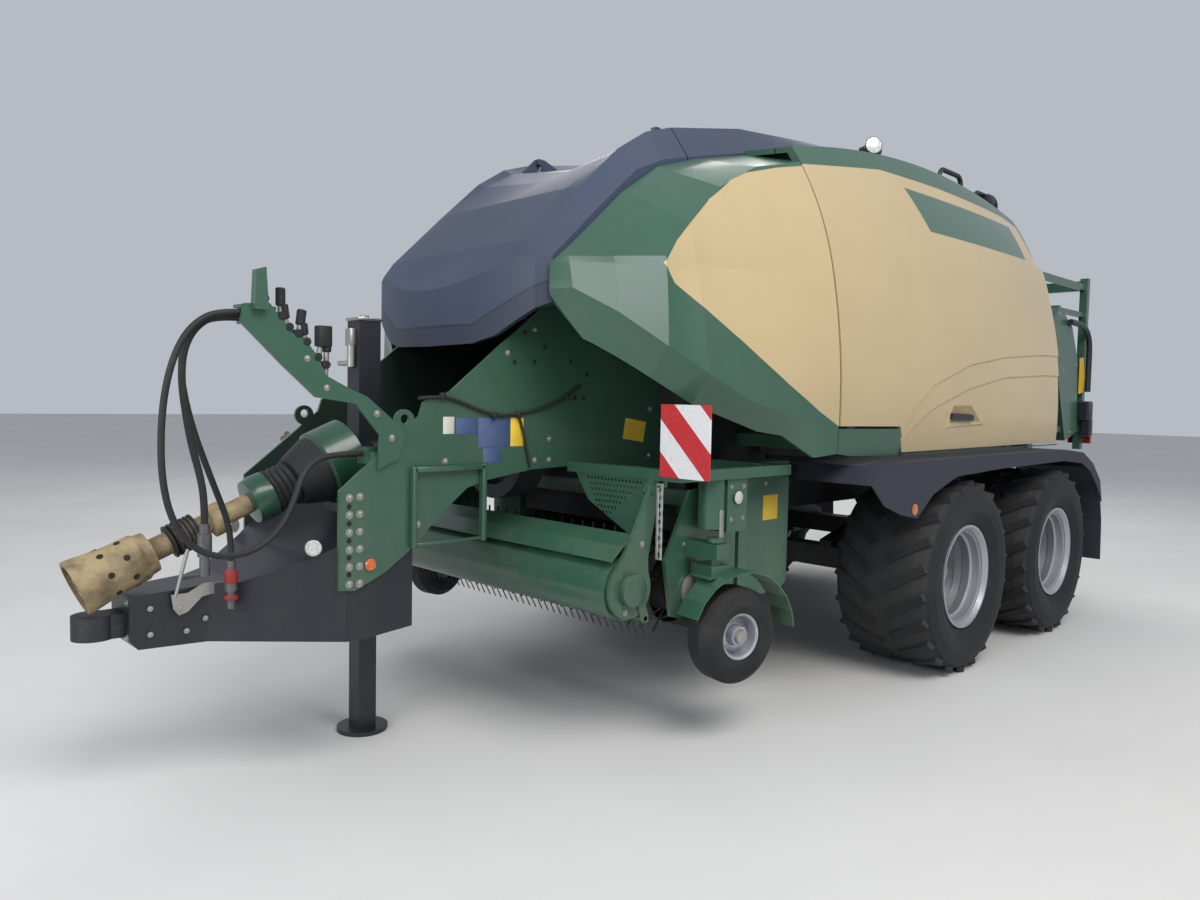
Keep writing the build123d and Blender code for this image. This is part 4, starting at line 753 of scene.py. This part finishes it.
# Side beams: the dial, the beam's bolts, and the drive cover's strap and bolts
COVER_FACE = 1.186
dial = Pile("dial faces", "chassis", clear, both=True)
dial.lathe((1.915, 1.194, 1.15), LEFT, [(0.03, 0), (0.03, 0.002), (0.027, 0.004)], 24)
dial.done()
beam_bits = Pile("beam bolts", "chassis", zinc, both=True)
beam_bits.side_bolts(BEAM_FACE, 0.014, ((1.44, 1.235), (1.35, 1.235), (1.44, 1.18)))
beam_bits.block(2.02, 2.05, COVER_FACE, COVER_FACE + 0.008, 0.86, 1.10, 0.002)
beam_bits.side_bolts(COVER_FACE, 0.013, ((1.87, 1.05), (1.96, 1.05), (1.87, 1.20), (1.96, 1.20)))
beam_bits.done()

# Pickup: its bolts and the reel's bearing cover, and the roller arms' bolts and hub caps
PICKUP_FACE, ROLLER_ARM_FACE = 1.04, 1.066
lift_bolts = Pile("pickup bolts", "pickup", zinc, both=True)
lift_bolts.side_bolts(PICKUP_FACE, 0.014, ((1.80, 1.10), (1.80, 1.02), (2.12, 0.93), (2.02, 0.93), (1.82, 0.50),
                                           (1.90, 0.62), (2.12, 0.62)))
lift_bolts.lathe((2.06, PICKUP_FACE, 0.71), LEFT, [(0.075, 0), (0.08, 0.004), (0.08, 0.018), (0.07, 0.022)], 32)
lift_bolts.done()
arm_bolts = Pile("roller arm bolts", "roller_arms", zinc, both=True)
arm_bolts.side_bolts(ROLLER_ARM_FACE, 0.016, ((2.53, 0.675), (2.435, 0.965)))
arm_bolts.done()
hubs = Pile("crop roller hub caps", "roller_arms", "green_paint", both=True)
hubs.lathe((2.5, ROLLER_ARM_FACE, 0.77), LEFT, [(0.068, 0), (0.072, 0.004), (0.072, 0.03), (0.06, 0.036)], 32)
hubs.done()

# Comb behind the crop roller: a bar on brackets outside the arms, with trailing rods
BAR_X, BAR_Z = 2.409, 0.632
BRACKET = [(2.47, 0.72), (2.42, 0.72), (2.388, 0.64), (2.392, 0.614), (2.425, 0.614)]
BRACKET_FACE = ROLLER_ARM_FACE + 0.008
COMB_HALF, COMB_RODS = 1.03, 44
comb_bar = Pile("comb bar", "roller_arms", "green_paint")
comb_bar.rod((BAR_X, -BRACKET_FACE, BAR_Z), (BAR_X, BRACKET_FACE, BAR_Z), 0.014)
for _, side in HANDS:
    comb_bar.sheet(BRACKET, side * ROLLER_ARM_FACE, side * BRACKET_FACE)
comb_bar.done()
comb = Pile("roller comb", "roller_arms", "black_paint")
for y in spread(-COMB_HALF, COMB_HALF, COMB_RODS):
    comb.pipe([(BAR_X, y, BAR_Z), (BAR_X - 0.012, y, BAR_Z - 0.03), (2.358, y, 0.53)], 0.0032, round_steps=2)
comb.done()

# Rear end: bent tubes with their valve blocks, yellow flaps and bolts
bent = Pile("rear bent tubes", "chassis", "black_paint", both=True)
bent.pipe([(-2.55, 1.125, 2.30), (-2.70, 1.125, 2.30), (-2.90, 1.125, 2.28), (-3.01, 1.13, 2.18), (-3.02, 1.13, 2.0),
           (-3.02, 1.13, 1.74)], 0.024)
bent.block(-3.06, -2.93, 1.02, 1.17, 1.50, 1.66, 0.01)
bent.block(-3.04, -2.96, 1.10, 1.18, 1.36, 1.52, 0.01)
bent.done()
flap = Pile("rear yellow flaps", "chassis", yellow_paint, both=True)
flap.sheet([(-2.88, 2.02), (-2.95, 2.03), (-3.0, 1.86), (-2.98, 1.74), (-2.88, 1.72)], 1.101, 1.109)
flap.done()
rear_bolts = Pile("rear bolts", "chassis", zinc, both=True)
rear_bolts.side_bolts(1.10, 0.017, ((-2.36, 2.35), (-2.60, 2.24), (-2.80, 1.96), (-2.50, 1.90), (-2.72, 1.40)))
rear_bolts.done()

# Hoses that hang from the arm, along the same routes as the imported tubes: (node, diameter, length, far end, route)
HOSES = (
    ("hose_outer", 0.024, 1.929, "object", (
        (3.925, 0.447, 1.888), (4.023, 0.447, 1.888), (4.112, 0.450, 1.836), (4.172, 0.455, 1.744),
        (4.214, 0.464, 1.604), (4.232, 0.474, 1.440), (4.230, 0.482, 1.282), (4.204, 0.490, 1.152),
        (4.144, 0.496, 1.052), (4.046, 0.500, 1.000), (3.918, 0.494, 1.008), (3.810, 0.476, 1.074),
        (3.738, 0.446, 1.178), (3.686, 0.410, 1.288), (3.606, 0.388, 1.342), (3.508, 0.380, 1.352),
        (3.412, 0.380, 1.352))),
    ("hose_front", 0.026, 0.906, "connector", (
        (3.925, 0.415, 1.878), (4.018, 0.415, 1.878), (4.094, 0.416, 1.826), (4.136, 0.420, 1.744),
        (4.146, 0.426, 1.640), (4.134, 0.430, 1.524), (4.112, 0.428, 1.400), (4.084, 0.424, 1.302),
        (4.066, 0.420, 1.208), (4.066, 0.420, 1.118))),
    ("hose_inner", 0.024, 1.122, "connector", (
        (3.925, 0.380, 1.872), (4.014, 0.380, 1.872), (4.088, 0.376, 1.826), (4.124, 0.374, 1.748),
        (4.124, 0.362, 1.648), (4.098, 0.344, 1.536), (4.058, 0.318, 1.424), (4.008, 0.288, 1.312),
        (3.958, 0.258, 1.204), (3.916, 0.240, 1.108), (3.896, 0.232, 1.022), (3.896, 0.232, 0.938))),
)
for name, diameter, length, far_end, points in HOSES:
    curve = bent_curve(name, points, diameter / 2, 4, 8)
    curve.materials.append(finish["rubber"])
    hose = bpy.data.objects.new(f"{name}_bend", curve)
    scene.collection.objects.link(hose)
    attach(hose, "chassis")
    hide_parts(name)
    tuple(spot(*points[0]))


# ---- Floor, light and camera

FLOOR_HALF = 60.0


def floor_look():
    look = Look("pale floor")
    cloud, fine = look.noise(0.6, 4.0), look.noise(60.0, 4.0)
    look.set(Base_Color=look.mix(look.ramp(cloud, 0.3, 0.7), (0.62, 0.62, 0.61), (0.57, 0.57, 0.565)),
             Roughness=(0.75 + fine * 0.1).clamped(), Normal=look.bump(fine, 0.05, 0.002))
    return look.material


def floor():
    mesh = bpy.data.meshes.new("floor")
    corners = [(-FLOOR_HALF, -FLOOR_HALF, 0), (FLOOR_HALF, -FLOOR_HALF, 0), (FLOOR_HALF, FLOOR_HALF, 0),
               (-FLOOR_HALF, FLOOR_HALF, 0)]
    mesh.from_pydata(corners, [], [(0, 1, 2, 3)])
    made = bpy.data.objects.new("floor", mesh)
    scene.collection.objects.link(made)
    mesh.materials.append(floor_look())


def studio():
    """A pale world of even light."""
    world = bpy.data.worlds.new("studio")
    scene.world = world
    world.use_nodes = True
    back = world.node_tree.nodes["Background"]
    back.inputs["Color"].default_value = (0.86, 0.91, 1.0, 1.0)
    back.inputs["Strength"].default_value = 0.55
    scene.view_settings.view_transform = "Standard"


def lamp(name, place, aim, size, power, colour):
    """A soft rectangular lamp that looks at a place."""
    light = bpy.data.lights.new(name, "AREA")
    light.shape = "RECTANGLE"
    light.size, light.size_y = size
    light.energy = power
    light.color = colour
    made = bpy.data.objects.new(name, light)
    made.location = place
    made.rotation_euler = (Vector(aim) - Vector(place)).to_track_quat("-Z", "Y").to_euler()
    scene.collection.objects.link(made)


# The camera as the photograph has it: where it stands, its angles, and its focal length and frame width in pixels
EYE = (5.285 - ORIGIN_X, 3.724, 1.598)
YAW, PITCH, ROLL = math.radians(45.82), math.radians(3.27), math.radians(-1.14)
FOCAL_PX, FRAME_PX = 893.9, 1200.0
SENSOR_MM = 36.0


def camera():
    data = bpy.data.cameras.new("camera")
    data.sensor_width = SENSOR_MM
    data.lens = FOCAL_PX * SENSOR_MM / FRAME_PX
    data.clip_end = 300.0
    made = bpy.data.objects.new("camera", data)
    level = Vector((-math.cos(YAW) * math.cos(PITCH), -math.sin(YAW) * math.cos(PITCH), -math.sin(PITCH)))
    right = level.cross(UP).normalized()
    down = level.cross(right)
    c, s = math.cos(ROLL), math.sin(ROLL)
    right, down = right * c + down * s, down * c - right * s
    turn = Matrix((right, -down, -level)).transposed()
    made.matrix_world = Matrix.Translation(EYE) @ turn.to_4x4()
    scene.collection.objects.link(made)
    scene.camera = made


floor()
studio()
lamp("high key", (3.0, 7.0, 9.0), (0, 0, 1.4), (7.0, 5.0), 900.0, (1.0, 0.97, 0.93))
lamp("front fill", (11.0, 2.0, 4.5), (1.5, 0, 1.3), (6.0, 4.0), 420.0, (0.95, 0.97, 1.0))
lamp("back rim", (-7.0, -7.0, 8.5), (0, 0, 1.6), (8.0, 6.0), 560.0, (1.0, 0.96, 0.9))
camera()
